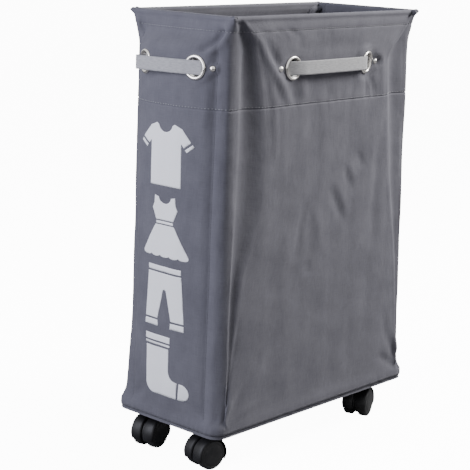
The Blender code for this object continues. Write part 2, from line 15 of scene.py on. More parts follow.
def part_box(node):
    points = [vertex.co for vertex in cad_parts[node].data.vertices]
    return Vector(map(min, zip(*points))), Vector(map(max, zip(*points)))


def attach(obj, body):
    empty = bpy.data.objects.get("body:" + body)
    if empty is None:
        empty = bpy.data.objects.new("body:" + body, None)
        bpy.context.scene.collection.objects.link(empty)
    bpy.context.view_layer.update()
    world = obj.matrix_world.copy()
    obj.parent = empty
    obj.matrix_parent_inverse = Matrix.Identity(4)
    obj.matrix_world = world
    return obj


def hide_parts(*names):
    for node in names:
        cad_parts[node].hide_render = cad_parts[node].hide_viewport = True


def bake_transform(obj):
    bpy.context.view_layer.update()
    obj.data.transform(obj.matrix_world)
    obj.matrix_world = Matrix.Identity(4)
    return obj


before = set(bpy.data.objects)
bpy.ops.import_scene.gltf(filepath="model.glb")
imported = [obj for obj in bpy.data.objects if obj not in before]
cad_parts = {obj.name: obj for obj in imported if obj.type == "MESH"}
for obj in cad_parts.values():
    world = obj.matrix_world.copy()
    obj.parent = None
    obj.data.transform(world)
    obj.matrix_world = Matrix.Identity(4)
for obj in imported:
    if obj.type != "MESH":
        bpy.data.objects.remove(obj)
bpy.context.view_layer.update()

SIDES = ("front", "right", "back", "left")
TURN = {"front": 0.0, "right": 90.0, "back": 180.0, "left": 270.0}
WIDE = ("front", "back")
CORNERS = {"front_left": (-1, -1), "front_right": (1, -1), "back_left": (-1, 1), "back_right": (1, 1)}
PANELS = tuple(side + "_panel" for side in SIDES)


def mm(*rows):
    """Rows of millimetres, in metres."""
    return tuple(tuple(value / 1000 for value in row) for row in rows)


# ---- sizes from the frame -----------------------------------------------------------------------
def half_size(node):
    low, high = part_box(node)
    return (high - low) / 2


def middle(node):
    low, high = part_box(node)
    return (low + high) / 2


base_half = half_size("bottom_cover")
base_low, base_high = (corner.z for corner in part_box("bottom_cover"))
rim_half = half_size("top_hem")
hem_low, hem_high = (corner.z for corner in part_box("top_hem"))
seam_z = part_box("top_facing")[0].z
wide_eyelet_z = middle("front_eyelet_left").z
narrow_eyelet_z = middle("left_eyelet_left").z

# ---- the bag's own lines, as in the solids --------------------------------------------------------
BASE_CORNER = 0.018
RIM_CORNER = 0.008
CORNER_LOW = (0.1910, 0.0915)        # half sizes of the cloth's corner just above the base
CORNER_HIGH = (0.1665, 0.0815)       # and at the top of the rods
CORNER_LOW_Z, CORNER_HIGH_Z = 0.0643, 0.540
WIDE_EYELET = (0.075, 0.0900)        # along and out from the middle
NARROW_EYELET = (0.043, 0.2040)
# How each eyelet is turned about the upright from square to its side, and how far it looks down, in
# degrees, and how the cloth beside it is turned, where its rivet sits. Left eyelet first.
EYELET_TURN = {"front": (0.0, 13.0), "back": (-4.0, 5.0), "left": (-20.0, 10.0), "right": (-16.0, 16.0)}
EYELET_NOD = {"front": (0.0, 9.0), "back": (2.0, 0.0), "left": (0.0, 0.0), "right": (0.0, 3.0)}
RIVET_TURN = {"front": (0.0, 8.0), "back": (-2.0, 3.0), "left": (-20.0, 17.0), "right": (-20.0, 20.0)}
RIVET_OFFSET = 0.0235
EYELET_INNER = 0.01125
EYELET_BARREL = 0.0125
EYELET_OUTER = 0.0155
EYELET_HOLE = 0.0134                 # radius of the cloth's hole behind an eyelet
EYELET_HOLD = (EYELET_OUTER + 0.001, 0.0255)      # the cloth is flat up to the first distance from it
RIVET_HOLD = (0.0042, 0.0088)                     # and free from the second
WALL = 0.0030                        # cloth, facing and the gap between them
BAG_CLOTH, FACING_CLOTH, HEM_CLOTH, STRAP_CLOTH = 0.0011, 0.0008, 0.0009, 0.0013
STRAP_WIDTH = 0.0178

FLARE_Z = 0.532                      # above this the cloth flares out to the rim
FLARE_TOP = hem_high - 0.0030
FLARE_POWER = 4.2
SKIRT_Z = 0.080                      # below this it flares out to the edge of the base
SKIRT_POWER = 1.8
SKIRT_INSET = -0.0008                # and hangs over the band around the board, down to its cord
FOOT_Z = base_low + 0.0058

# Height against a distance. The taut middle of a wide side ends at TAUT_EDGE, at its left and right
# hand; between it and the rod lies a hollow, and the rod's ridge is set in from the corner.
TAUT_EDGE = {
    "left": mm((60, 187), (140, 175.5), (243, 163), (300, 143), (354, 128), (417, 124), (455, 127.7),
               (505, 136), (548, 147), (583.5, 174)),
    "right": mm((60, 180), (140, 173), (250, 159), (360, 136), (469, 125.5), (518, 121), (530, 128),
                (548, 150), (583.5, 179)),
}
TAUT_OUT = mm((60, 92.6), (300, 91.5), (469, 90.2), (583.5, 90))
TAUT_RIM = 0.0085                    # width of the taut part's curved rim
HOLLOW_DEPTH = {
    "left": mm((60, 0), (150, 1), (300, 3.4), (420, 4.6), (505, 4.4), (545, 2.4), (563, 0)),
    "right": mm((60, 0), (150, 0.8), (280, 3), (400, 5.2), (500, 7.5), (540, 5.8), (562, 0)),
}
HOLLOW_PLACE = {"left": 0.78, "right": 0.42}      # share of the way from the taut edge to the rod
RIDGE_INSET = {
    "left": mm((60, 9), (150, 6), (300, 2), (500, 0.8), (540, 2)),
    "right": mm((60, 12.5), (150, 10.5), (300, 7), (420, 4), (500, 3.4), (540, 3)),
}
RIDGE_PROUD = {
    "left": mm((60, 0.3), (150, 0.8), (300, 1.2), (500, 1.6), (540, 1.4)),
    "right": mm((60, 0.3), (150, 0.8), (300, 1.2), (500, 1.4), (540, 1.4)),
}
SEAM_PULL = mm((60, 0), (150, 1), (300, 1.8), (500, 2.2), (540, 2), (562.7, 0))
NARROW_MIDDLE = mm((60, 200), (112, 204.5), (250, 206.5), (365, 208), (440, 209), (525, 209), (540, 207),
                   (562.7, 190), (583.5, 187))
NARROW_BULGE = mm((60, 9), (112, 12.5), (250, 17.4), (360, 20), (457, 22.5), (525, 24), (562.7, 8.5),
                  (583.5, 0))
BULGE_REACH = 0.083
BULGE_POWER = 2.39
POCKET_PINCH = {
    "left": mm((60, 0), (583.5, 0)),
    "right": mm((60, 1.5), (120, 6.2), (200, 8.4), (300, 8.4), (450, 7.4), (535, 7), (565, 1.5), (583.5, 0)),
}
PINCH_START, PINCH_END = 0.050, 0.076             # from the middle of a narrow side
POCKET_SEAM = mm((60, 65.5), (250, 66.8), (457, 68.2), (540, 69.2))


def between(low, high, share):
    return low + (high - low) * share


def smooth(value, low, high):
    """0 below low, 1 above high, with soft ends."""
    share = np.clip((np.asarray(value, float) - low) / (high - low), 0.0, 1.0)
    return share * share * (3.0 - 2.0 * share)


def through(keys, heights):
    """Smooth curve through (height, value) keys, which never overshoots them, read at the heights."""
    at, value = (np.array(column, float) for column in zip(*keys))
    heights = np.clip(np.asarray(heights, float), at[0], at[-1])
    step = np.diff(at)
    slope = np.diff(value) / step
    tangent = np.zeros_like(value)
    tangent[0], tangent[-1] = slope[0], slope[-1]
    same_way = slope[:-1] * slope[1:] > 0
    total = np.where(same_way, slope[:-1] + slope[1:], 1.0)
    tangent[1:-1] = np.where(same_way, 2.0 * slope[:-1] * slope[1:] / total, 0.0)
    index = np.clip(np.searchsorted(at, heights, side="right") - 1, 0, len(step) - 1)
    width = step[index]
    t = (heights - at[index]) / width
    return ((1 + 2 * t) * (1 - t) ** 2 * value[index] + t * (1 - t) ** 2 * width * tangent[index]
            + t * t * (3 - 2 * t) * value[index + 1] - t * t * (1 - t) * width * tangent[index + 1])


def turn_matrix(side):
    return Matrix.Rotation(math.radians(TURN[side]), 4, "Z")


def to_world(side, along, out, height):
    return turn_matrix(side) @ Vector((along, -out, height))


# ---- the cloth surface --------------------------------------------------------------------------
# Guide lines of a quarter of the bag, from the middle of a wide side round a corner to the middle of
# a narrow side: name, and number of columns up to the next guide line.
GUIDES = (("wide_middle", 14), ("wide_quarter", 12), ("taut_inside", 5), ("taut_edge", 5), ("hollow", 5),
          ("rod_ridge", 4), ("dip", 4), ("pocket_corner", 3), ("pocket", 5), ("pocket_seam", 4),
          ("narrow_3", 6), ("narrow_2", 7), ("narrow_1", 8), ("narrow_middle", 0))
ON_WIDE = ("wide_middle", "wide_quarter", "taut_inside")
WIDE_GUIDES = ON_WIDE + ("taut_edge", "hollow", "rod_ridge")
NARROW_STEPS = {"narrow_3": 0.0580, "narrow_2": 0.0430, "narrow_1": 0.0240, "narrow_middle": 0.0}
ON_NARROW = ("pocket_seam", *NARROW_STEPS)
# Lines round the corner, outside the rod: half sizes at its low and high end, and share of the pinch.
CORNER_LINES = {"dip": ((0.1880, 0.1768), (0.0893, 0.0846), 0.7),
                "pocket_corner": ((0.1915, 0.1857), (0.0852, 0.0819), 1.0),
                "pocket": ((0.1960, 0.1892), (0.0790, 0.0760), 1.0)}
# Where lines meet the base's round corner, in degrees: 90 is on the wide side.
FOOT_ANGLES = {"taut_edge": 88.0, "hollow": 80.0, "rod_ridge": 72.0, "dip": 45.0, "pocket_corner": 20.0,
               "pocket": 2.0}
# The rim's cloth stands a little past the wire at each corner, as a soft ear. From the rim's half sizes.
RIM_EAR = {"hollow": (-0.0120, 0.0), "rod_ridge": (-0.0052, 0.0003), "dip": (0.0018, 0.0014),
           "pocket_corner": (0.0010, -0.0042), "pocket": (0.0, -0.0110)}


def foot_point(degrees):
    angle = math.radians(degrees)
    reach = BASE_CORNER - SKIRT_INSET
    return (base_half.x - BASE_CORNER + reach * math.cos(angle),
            base_half.y - BASE_CORNER + reach * math.sin(angle))


def quarter(hand, z):
    """Guide lines of a quarter of the bag at heights z, as an array of (guide, height, x and y)."""
    share = (z - CORNER_LOW_Z) / (CORNER_HIGH_Z - CORNER_LOW_Z)
    half_x = between(CORNER_LOW[0], CORNER_HIGH[0], share)
    half_y = between(CORNER_LOW[1], CORNER_HIGH[1], share)
    taut, taut_out = through(TAUT_EDGE[hand], z), through(TAUT_OUT, z)
    ridge = (half_x - through(RIDGE_INSET[hand], z), half_y + through(RIDGE_PROUD[hand], z))
    sunk, hollow_share = through(HOLLOW_DEPTH[hand], z), HOLLOW_PLACE[hand]
    bulge, narrow = through(NARROW_BULGE, z), through(NARROW_MIDDLE, z)
    pinch, seam = through(POCKET_PINCH[hand], z), through(POCKET_SEAM, z)

    def bulged(along):
        pinched = np.clip((along - PINCH_START) / (PINCH_END - PINCH_START), 0.0, 1.0) ** 2
        return narrow - bulge * (along / BULGE_REACH) ** BULGE_POWER - pinch * pinched

    points = {
        "wide_middle": (0.0 * z, taut_out),
        "wide_quarter": (0.5 * taut, taut_out + 0.0002),
        "taut_inside": (taut - TAUT_RIM, taut_out + 0.0004),
        "taut_edge": (taut, taut_out),
        "hollow": (between(taut, ridge[0], hollow_share), between(taut_out, ridge[1], hollow_share) - sunk),
        "rod_ridge": ridge,
        "pocket_seam": (bulged(seam) - through(SEAM_PULL, z), seam),
    }
    for name, (x_ends, y_ends, pinched) in CORNER_LINES.items():
        points[name] = (between(*x_ends, share) - pinched * pinch, between(*y_ends, share))
    for name, along in NARROW_STEPS.items():
        points[name] = (bulged(along), along + 0.0 * z)

    flare = np.clip((z - FLARE_Z) / (FLARE_TOP - FLARE_Z), 0.0, 1.0) ** FLARE_POWER
    skirt = np.clip((SKIRT_Z - z) / (SKIRT_Z - base_high), 0.0, 1.0) ** SKIRT_POWER
    rim = {name: (rim_half.x + x, rim_half.y + y) for name, (x, y) in RIM_EAR.items()}
    foot = {name: foot_point(degrees) for name, degrees in FOOT_ANGLES.items()}
    lines = []
    for name, _ in GUIDES:
        x, y = points[name]
        rim_x, rim_y = rim.get(name, (x, y))
        foot_x, foot_y = foot.get(name, (x, y))
        if name in ON_NARROW:
            rim_x, foot_x = rim_half.x, base_half.x - SKIRT_INSET
        if name in ON_WIDE:
            foot_y = base_half.y - SKIRT_INSET
        x, y = between(x, rim_x, flare), between(y, rim_y, flare)
        lines.append(np.stack([between(x, foot_x, skirt), between(y, foot_y, skirt)], axis=-1))
    return np.array(lines)


def ring_guides(z):
    """Guide lines right round the bag, from the pocket seam at the back right corner and on by +Y."""
    guides = []
    for sign_x, sign_y, hand in ((1, -1, "right"), (1, 1, "left"), (-1, 1, "right"), (-1, -1, "left")):
        lines = quarter(hand, z) * np.array((sign_x, sign_y))
        names, steps = [name for name, _ in GUIDES], [count for _, count in GUIDES[:-1]]
        if hand == "left":
            lines, names, steps = lines[::-1], names[::-1], steps[::-1]
        wide_side = "front" if sign_y < 0 else "back"
        narrow_side = "right" if sign_x > 0 else "left"
        guides += [(line, count, name, wide_side, narrow_side)
                   for line, count, name in zip(lines, steps, names)]
    start = next(index for index, guide in enumerate(guides)
                 if guide[2] == "pocket_seam" and guide[3:] == ("back", "right"))
    return guides[start:] + guides[:start]


def bare_ring(z):
    """Undisturbed cloth at heights z: points (height, column, 3), and each column's side."""
    guides = ring_guides(z)
    lines = np.array([guide[0] for guide in guides])
    following = np.roll(lines, -1, axis=0)
    chord = np.linalg.norm(following - lines, axis=-1, keepdims=True)
    direction = (following - lines) / chord
    before, chord_before = np.roll(direction, 1, axis=0), np.roll(chord, 1, axis=0)
    tangent = (chord * before + chord_before * direction) / (chord + chord_before)
    tangent_after = np.roll(tangent, -1, axis=0)
    columns, sides = [], []
    for index, (_, steps, name, wide_side, narrow_side) in enumerate(guides):
        name_after = guides[(index + 1) % len(guides)][2]
        on_wide = name in WIDE_GUIDES and name_after in WIDE_GUIDES
        for step in range(steps):
            t = step / steps
            columns.append((1 + 2 * t) * (1 - t) ** 2 * lines[index] + t * t * (3 - 2 * t) * following[index]
                           + chord[index] * (t * (1 - t) ** 2 * tangent[index]
                                             - t * t * (1 - t) * tangent_after[index]))
            sides.append(wide_side if on_wide or (name in WIDE_GUIDES and step == 0) else narrow_side)
    plan = np.stack(columns, axis=1)
    height = np.broadcast_to(z[:, None, None], plan.shape[:2] + (1,))
    return np.concatenate([plan, height], axis=-1), sides


def normals_of(points):
    """Outward normals of a ring of columns, by differences."""
    around = np.roll(points, -1, axis=1) - np.roll(points, 1, axis=1)
    normal = np.cross(around, np.gradient(points, axis=0))
    return normal / np.maximum(np.linalg.norm(normal, axis=-1, keepdims=True), 1e-12)


WAVES = 14


def wander(u, v, size_u, size_v, seed):
    """Smooth random field of about unit height, with features of the given sizes."""
    dice = np.random.default_rng(seed)
    total = np.zeros(np.broadcast(u, v).shape)
    for _ in range(WAVES):
        turn_u, turn_v = dice.normal(0.0, 1.0, 2)
        phase = dice.uniform(0, math.tau)
        total += np.cos(math.tau * 0.5 * (u * turn_u / size_u + v * turn_v / size_v) + phase)
    return total * math.sqrt(2.0 / WAVES)


def fold(along, z, points, width, height, ends):
    """A soft ridge, or a groove where height is negative, along a line of (along, height) points."""
    best = np.full(along.shape, np.inf)
    place = np.zeros(along.shape)
    line = [np.array(point) for point in points]
    lengths = [np.linalg.norm(b - a) for a, b in zip(line, line[1:])]
    done = 0.0
    for start, end, length in zip(line, line[1:], lengths):
        way = (end - start) / length
        t = np.clip((along - start[0]) * way[0] + (z - start[1]) * way[1], 0.0, length)
        distance = np.hypot(along - start[0] - way[0] * t, z - start[1] - way[1] * t)
        nearer = distance < best
        best = np.where(nearer, distance, best)
        place = np.where(nearer, (done + t) / sum(lengths), place)
        done += length
    strength = np.interp(place, (0.0, 0.3, 0.7, 1.0), (ends[0], 1.0, 1.0, ends[1]))
    return FOLD_GAIN * height * strength * np.exp(-0.5 * (best / width) ** 2)


def puckers(along, z, line_z, period, height, above, below, seed):
    """Small gathers on both sides of a level row of stitches."""
    rise = z - line_z
    fade = np.where(rise > 0, np.exp(-(rise / above) ** 2), np.exp(-(rise / below) ** 2))
    drift = wander(along, 0.0 * z, 0.050, 1.0, seed)
    uneven = 0.65 + 0.35 * wander(along, 0.0 * z, 0.030, 1.0, seed + 1)
    return height * uneven * fade * np.cos(math.tau * along / period + 1.2 * drift)


# Folds of a side in millimetres: line, (width, height) and how strong the fold is at its two ends.
# A groove has a negative height.
FOLD_GAIN = 1.4
WIDE_FOLDS = (
    # pulled from the rim's left corner down past the left rivet
    (((-150, 563), (-136, 548), (-117, 522), (-100, 500), (-83, 478)), (4.2, 2.5), (0.5, 0.3)),
    (((-128, 548), (-110, 527), (-100, 512)), (4.6, -2.4), (0.3, 0.4)),
    (((-132, 535), (-119, 500), (-110, 469), (-105, 430), (-104, 395)), (3.2, 1.1), (0.2, 0.0)),
    (((-126, 515), (-116, 480), (-113, 452)), (3.0, -0.9), (0.0, 0.0)),
    (((-104, 497), (-94, 475)), (4.0, -1.0), (0.5, 0.6)),
    # under the eyelets and the webbing
    (((-72, 500), (-70, 485), (-68, 471)), (4.8, -1.6), (1.0, 0.2)),
    (((-52, 496), (-50, 474)), (4.5, 1.0), (0.6, 0.3)),
    (((-5, 494), (-8, 474)), (6.0, -0.7), (0.7, 0.3)),
    (((16, 494), (10, 474)), (5.0, 0.5), (0.7, 0.3)),
    (((52, 500), (47, 473)), (4.0, -0.8), (0.6, 0.3)),
    (((79, 502), (78, 486), (79, 470)), (2.6, -1.4), (1.0, 0.3)),
    (((83, 501), (90, 488), (97, 470)), (2.6, -1.4), (1.0, 0.3)),
    (((105, 528), (112, 500), (114, 472)), (5.0, 1.0), (0.3, 0.6)),
    # above them
    (((-62, 557), (-60, 536)), (2.0, -0.7), (0.8, 0.4)),
    (((-85, 556), (-78, 540)), (4.0, 0.6), (0.6, 0.4)),
    (((66, 536), (45, 541), (10, 541), (-50, 540)), (6.0, -0.8), (0.6, 0.6)),
    # creases of a cloth that has been packed flat
    (((-40, 353), (-43, 330), (-52, 300), (-56, 270)), (4.2, -1.4), (0.0, 0.5)),
    (((-34, 262), (-30, 238)), (5.5, -1.1), (0.2, 0.0)),
    (((-22, 338), (-12, 300), (-10, 270)), (5.5, 0.9), (0.0, 0.0)),
    (((-78, 310), (-76, 265)), (2.2, 0.6), (0.0, 0.0)),
    (((12, 355), (26, 328), (44, 300)), (4.6, -1.4), (0.0, 0.0)),
    (((20, 366), (36, 338), (52, 310)), (4.5, 0.9), (0.0, 0.0)),
    (((36, 385), (53, 352), (66, 338)), (4.4, -1.0), (0.0, 0.0)),
    (((48, 384), (62, 358)), (4.0, 0.9), (0.0, 0.0)),
    (((65, 398), (80, 372)), (3.6, -1.0), (0.0, 0.0)),
    # pulled towards the corners of the base
    (((186, 66), (165, 78), (130, 98)), (4.2, -1.7), (0.25, 0.0)),
    (((186, 68), (170, 92), (150, 130), (140, 165)), (3.6, -1.5), (0.25, 0.0)),
    (((187, 70), (176, 100), (166, 130)), (3.4, 1.2), (0.25, 0.0)),
    (((187, 72), (184, 100), (176, 150)), (2.6, -1.0), (0.25, 0.0)),
    (((-186, 68), (-163, 95), (-135, 132), (-112, 160)), (3.8, -1.2), (0.25, 0.0)),
    (((-187, 69), (-172, 100), (-160, 138)), (3.2, 1.2), (0.25, 0.0)),
    (((-186, 66), (-150, 80), (-120, 88)), (4.0, 0.9), (0.25, 0.0)),
    (((-187, 70), (-180, 110), (-171, 160), (-160, 215)), (2.6, -0.9), (0.25, 0.0)),
    # a soft hollow inside the right end of the taut middle
    (((113, 430), (110, 380), (106, 300), (110, 250)), (7.0, -1.8), (0.0, 0.0)),
)
NARROW_FOLDS = (
    # pulled from the rim's corners to the eyelets
    (((72, 563), (61, 552), (46, 541), (28, 535)), (3.4, -4.4), (0.7, 0.1)),
    (((76, 557), (66, 545), (54, 535)), (3.4, 2.4), (0.7, 0.0)),
    (((40, 560), (20, 551), (-10, 545)), (6.0, 1.0), (0.3, 0.0)),
    (((-73, 562), (-60, 552), (-45, 542)), (4.0, -1.2), (0.7, 0.0)),
    # under the webbing
    (((-52, 500), (-50, 472)), (3.4, -0.7), (0.4, 0.4)),
    (((-20, 500), (-22, 474)), (6.0, 0.6), (0.4, 0.4)),
    (((26, 501), (22, 472)), (5.0, -0.6), (0.4, 0.4)),
    (((56, 500), (58, 470), (54, 430)), (4.5, 0.6), (0.6, 0.0)),
    # creases of the lower part
    (((-30, 463), (-26, 430), (-30, 380)), (6.0, -0.6), (0.3, 0.0)),
    (((58, 300), (52, 240), (56, 180)), (6.0, -0.6), (0.0, 0.0)),
    (((66, 66), (52, 82), (30, 94)), (5.0, -1.1), (0.25, 0.0)),
    (((-66, 66), (-50, 84), (-30, 100)), (5.0, -1.1), (0.25, 0.0)),
)
# Rows of gathers: height of the stitches, period, height, and reach above and below them.
GATHERS = ((seam_z, 0.0062, 0.00042, 0.0075, 0.0045), (hem_low, 0.0070, 0.00050, 0.0055, 0.0100),
           (FOOT_Z, 0.0085, 0.00045, 0.0130, 0.0050))
# Unevenness of the cloth: height, sizes along and up, and seed. It fades out between these heights
# and the base and the rim.
UNEVENNESS = ((0.00042, 0.045, 0.120, 40), (0.00016, 0.016, 0.050, 50))
FREE_LOW, FREE_HIGH = 0.10, 0.555
# Grooves that the level rows of stitches pull: height, depth and width.
LEVEL_GROOVES = ((seam_z, 0.0008, 0.0009), (hem_low, 0.0002, 0.0010))
POCKET_GROOVE = 0.0012
POCKET_GROOVE_BESIDE = 0.12          # share of that depth one column to each side


def eyelet_places(side):
    """(along, out, height, turn, nod, turn at the rivet) of a side's two eyelets, left first."""
    along, out = WIDE_EYELET if side in WIDE else NARROW_EYELET
    height = wide_eyelet_z if side in WIDE else narrow_eyelet_z
    angles = zip((-1, 1), EYELET_TURN[side], EYELET_NOD[side], RIVET_TURN[side])
    return [(sign * along, out, height, math.radians(turn), math.radians(nod), math.radians(rivet_turn))
            for sign, turn, nod, rivet_turn in angles]


def folds_of(side, along, height):
    """How far the folds, gathers and unevenness of a side push its cloth out."""
    number = SIDES.index(side)
    push = np.zeros(along.shape)
    flip = -1.0 if side == "right" else 1.0
    for line, size, ends in (WIDE_FOLDS if side in WIDE else NARROW_FOLDS):
        push += fold(along, height, [(flip * a, b) for a, b in mm(*line)], *mm(size)[0], ends)
    for row, (line_z, period, rise, above, below) in enumerate(GATHERS, 1):
        push += puckers(along, height, line_z, period, rise, above, below, 10 * row + number)
    ease = smooth(height, base_high, FREE_LOW) * (1.0 - smooth(height, FREE_HIGH, hem_high))
    for rise, size_along, size_up, seed in UNEVENNESS:
        push += rise * ease * wander(along, height, size_along, size_up, seed + number)
    return push


def cloth(z):
    """The bag's cloth at heights z: points and outward normals."""
    points, sides = bare_ring(z)
    normal = normals_of(points)
    shift = np.zeros(points.shape[:2])
    for side in SIDES:
        mine = np.array([name == side for name in sides])
        face = np.array(turn_matrix(side) @ Vector((0.0, -1.0, 0.0)))
        along = points[:, mine] @ np.array(turn_matrix(side) @ Vector((1.0, 0.0, 0.0)))
        height = points[:, mine, 2]
        push = folds_of(side, along, height)
        # flat where an eyelet and its rivet clamp the cloth
        for eyelet_along, eyelet_out, eyelet_z, turn, nod, rivet_turn in eyelet_places(side):
            rivet_along = eyelet_along + math.copysign(RIVET_OFFSET * math.cos(rivet_turn), eyelet_along)
            for centre, tilt, lean, (held, loose) in ((eyelet_along, turn, nod, EYELET_HOLD),
                                                      (rivet_along, rivet_turn, 0.0, RIVET_HOLD)):
                hold = 1.0 - smooth(np.hypot(along - centre, height - eyelet_z), held, loose)
                push *= 1.0 - hold
                out = points[:, mine] @ face
                flat = (eyelet_out - (along - eyelet_along) * math.tan(tilt)
                        + (height - eyelet_z) * math.tan(lean))
                points[:, mine] += ((flat - out) * hold)[..., None] * face
        shift[:, mine] = push
    for line_z, depth, width in LEVEL_GROOVES:
        shift -= (depth * np.exp(-((z - line_z) / width) ** 2))[:, None]
    points = points + normal * shift[..., None]
    return points - normal * pocket_grooves(z, points.shape[1])[..., None], normal


def seam_columns():
    """Column number of each of the four upright seams that close the rods' pockets."""
    start, found = 0, []
    for _, steps, name, *_ in ring_guides(np.array([seam_z])):
        if name == "pocket_seam":
            found.append(start)
        start += steps
    return found


def pocket_grooves(z, columns):
    """Depth at heights z, in each column, of the grooves along the pockets' upright seams."""
    depth = np.zeros(columns)
    for column in seam_columns():
        depth[column] = 1.0
        for beside in (-1, 1):
            depth[(column + beside) % columns] = POCKET_GROOVE_BESIDE
    fade = (1.0 - smooth(z, FREE_HIGH, 0.563)) * (0.4 + 0.6 * smooth(z, base_high, FREE_LOW))
    return POCKET_GROOVE * fade[:, None] * depth


# ---- mesh helpers -------------------------------------------------------------------------------
def new_object(name, data):
    item = bpy.data.objects.new(name, data)
    bpy.context.collection.objects.link(item)
    return item


def add_mesh(name, points, faces, material, smooth_angle=40.0, weave=None, sheet=False):
    """New piece. A closed body's faces are turned outwards; a sheet's face the way they are wound."""
    mesh = bpy.data.meshes.new(name)
    mesh.from_pydata([tuple(point) for point in points], [], faces)
    mesh.materials.append(material)
    if weave is not None:
        attribute = mesh.attributes.new("weave", "FLOAT_VECTOR", "POINT")
        attribute.data.foreach_set("vector", np.asarray(weave, np.float32).ravel())
    if not sheet:
        shape = bmesh.new()
        shape.from_mesh(mesh)
        bmesh.ops.recalc_face_normals(shape, faces=shape.faces)
        shape.to_mesh(mesh)
        shape.free()
    mesh.shade_smooth()
    if smooth_angle < 180.0:
        mesh.set_sharp_from_angle(angle=math.radians(smooth_angle))
    return new_object(name, mesh)


def settle(item, slot, body, *nodes):
    """Hides the nodes that a finished piece stands for, and hangs it on the body that it rides on. Its slot
    is not used.
    """
    if nodes:
        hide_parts(*nodes)
    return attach(item, body)


def grid_faces(rows, columns, closed):
    faces = []
    for row in range(rows - 1):
        for column in range(columns if closed else columns - 1):
            after = (column + 1) % columns
            faces.append((row * columns + column, row * columns + after,
                          (row + 1) * columns + after, (row + 1) * columns + column))
    return faces


def capped_faces(rows, count):
    """Faces of a closed body: a tube of rows of count points each, with its two ends filled."""
    first, last = tuple(range(count)), tuple(range((rows - 1) * count, rows * count))
    return grid_faces(rows, count, True) + [first[::-1], last]


def lengths_along(grid, axis):
    """Length reached along an axis of a grid of points, from 0 at its first."""
    steps = np.linalg.norm(np.diff(grid, axis=axis), axis=-1)
    start = np.zeros_like(steps[:, :1] if axis else steps[:1])
    return np.concatenate([start, np.cumsum(steps, axis=axis)], axis=axis)


def cloth_piece(name, rows, material, thickness, holes=False):
    """A sheet right round the bag, from its rows of points, with holes for the eyelets if it has them.

    Its first column comes again at the end, so that the weave doesn't run backwards across one face.
    """
    grid = np.array(rows)
    grid = np.concatenate([grid, grid[:, :1]], axis=1)
    around = lengths_along(grid, 1)
    around = np.broadcast_to(around.mean(axis=0), around.shape)
    weave = np.stack([around, lengths_along(grid, 0), 0 * around], axis=-1)
    item = add_mesh(name, grid.reshape(-1, 3), grid_faces(*grid.shape[:2], False), material, 180.0,
                    weave.reshape(-1, 3), sheet=True)
    if holes:
        punch(item)
    add_thickness(item, thickness)
    return item


def punch(item):
    """Opens the round holes behind the eyelets, and draws their edges onto a circle."""
    shape = bmesh.new()
    shape.from_mesh(item.data)
    reach = 2.0 * EYELET_BARREL
    for side in SIDES:
        for sign in (-1, 1):
            place = wall_place(side, sign, 0.0)
            centre = place.translation
            axis = (place.to_3x3() @ Vector((0.0, 0.0, 1.0))).normalized()

            def level(point):
                away = point - centre
                return away - axis * away.dot(axis)

            middles = {face: face.calc_center_median() for face in shape.faces}
            near = [face for face, spot in middles.items()
                    if (spot - centre).length < reach and level(spot).length < EYELET_HOLE]
            bmesh.ops.delete(shape, geom=near, context="FACES")
            for vertex in shape.verts:
                if vertex.is_boundary and (vertex.co - centre).length < reach:
                    flat = level(vertex.co)
                    vertex.co += flat.normalized() * EYELET_HOLE - flat
    shape.to_mesh(item.data)
    shape.free()


def add_thickness(item, thickness):
    modifier = item.modifiers.new("thickness", "SOLIDIFY")
    modifier.thickness = thickness
    modifier.offset = -1.0
    modifier.use_even_offset = False


def lathe(profile, segments, place, closed=False):
    """Points and faces turned about Z. A profile that starts and ends on the axis gives a closed body."""
    points, faces, rings = [], [], []
    for radius, height in profile:
        if radius < 1e-7:
            rings.append([len(points)])
            points.append(place @ Vector((0.0, 0.0, height)))
            continue
        rings.append(list(range(len(points), len(points) + segments)))
        for step in range(segments):
            angle = math.tau * step / segments
            points.append(place @ Vector((radius * math.cos(angle), radius * math.sin(angle), height)))
    pairs = list(zip(rings, rings[1:])) + ([(rings[-1], rings[0])] if closed else [])
    for low, high in pairs:
        for step in range(segments):
            after = (step + 1) % segments
            corners = (low[step % len(low)], low[after % len(low)],
                       high[after % len(high)], high[step % len(high)])
            kept = list(dict.fromkeys(corners))
            if len(kept) > 2:
                faces.append(tuple(kept))
    return points, faces


def joined(parts):
    points, faces = [], []
    for more_points, more_faces in parts:
        faces += [tuple(index + len(points) for index in face) for face in more_faces]
        points += list(more_points)
    return points, faces


def arc_points(centre, radius, start, end, steps):
    angles = [math.radians(start + (end - start) * step / steps) for step in range(steps + 1)]
    return [(centre[0] + radius * math.cos(angle), centre[1] + radius * math.sin(angle)) for angle in angles]


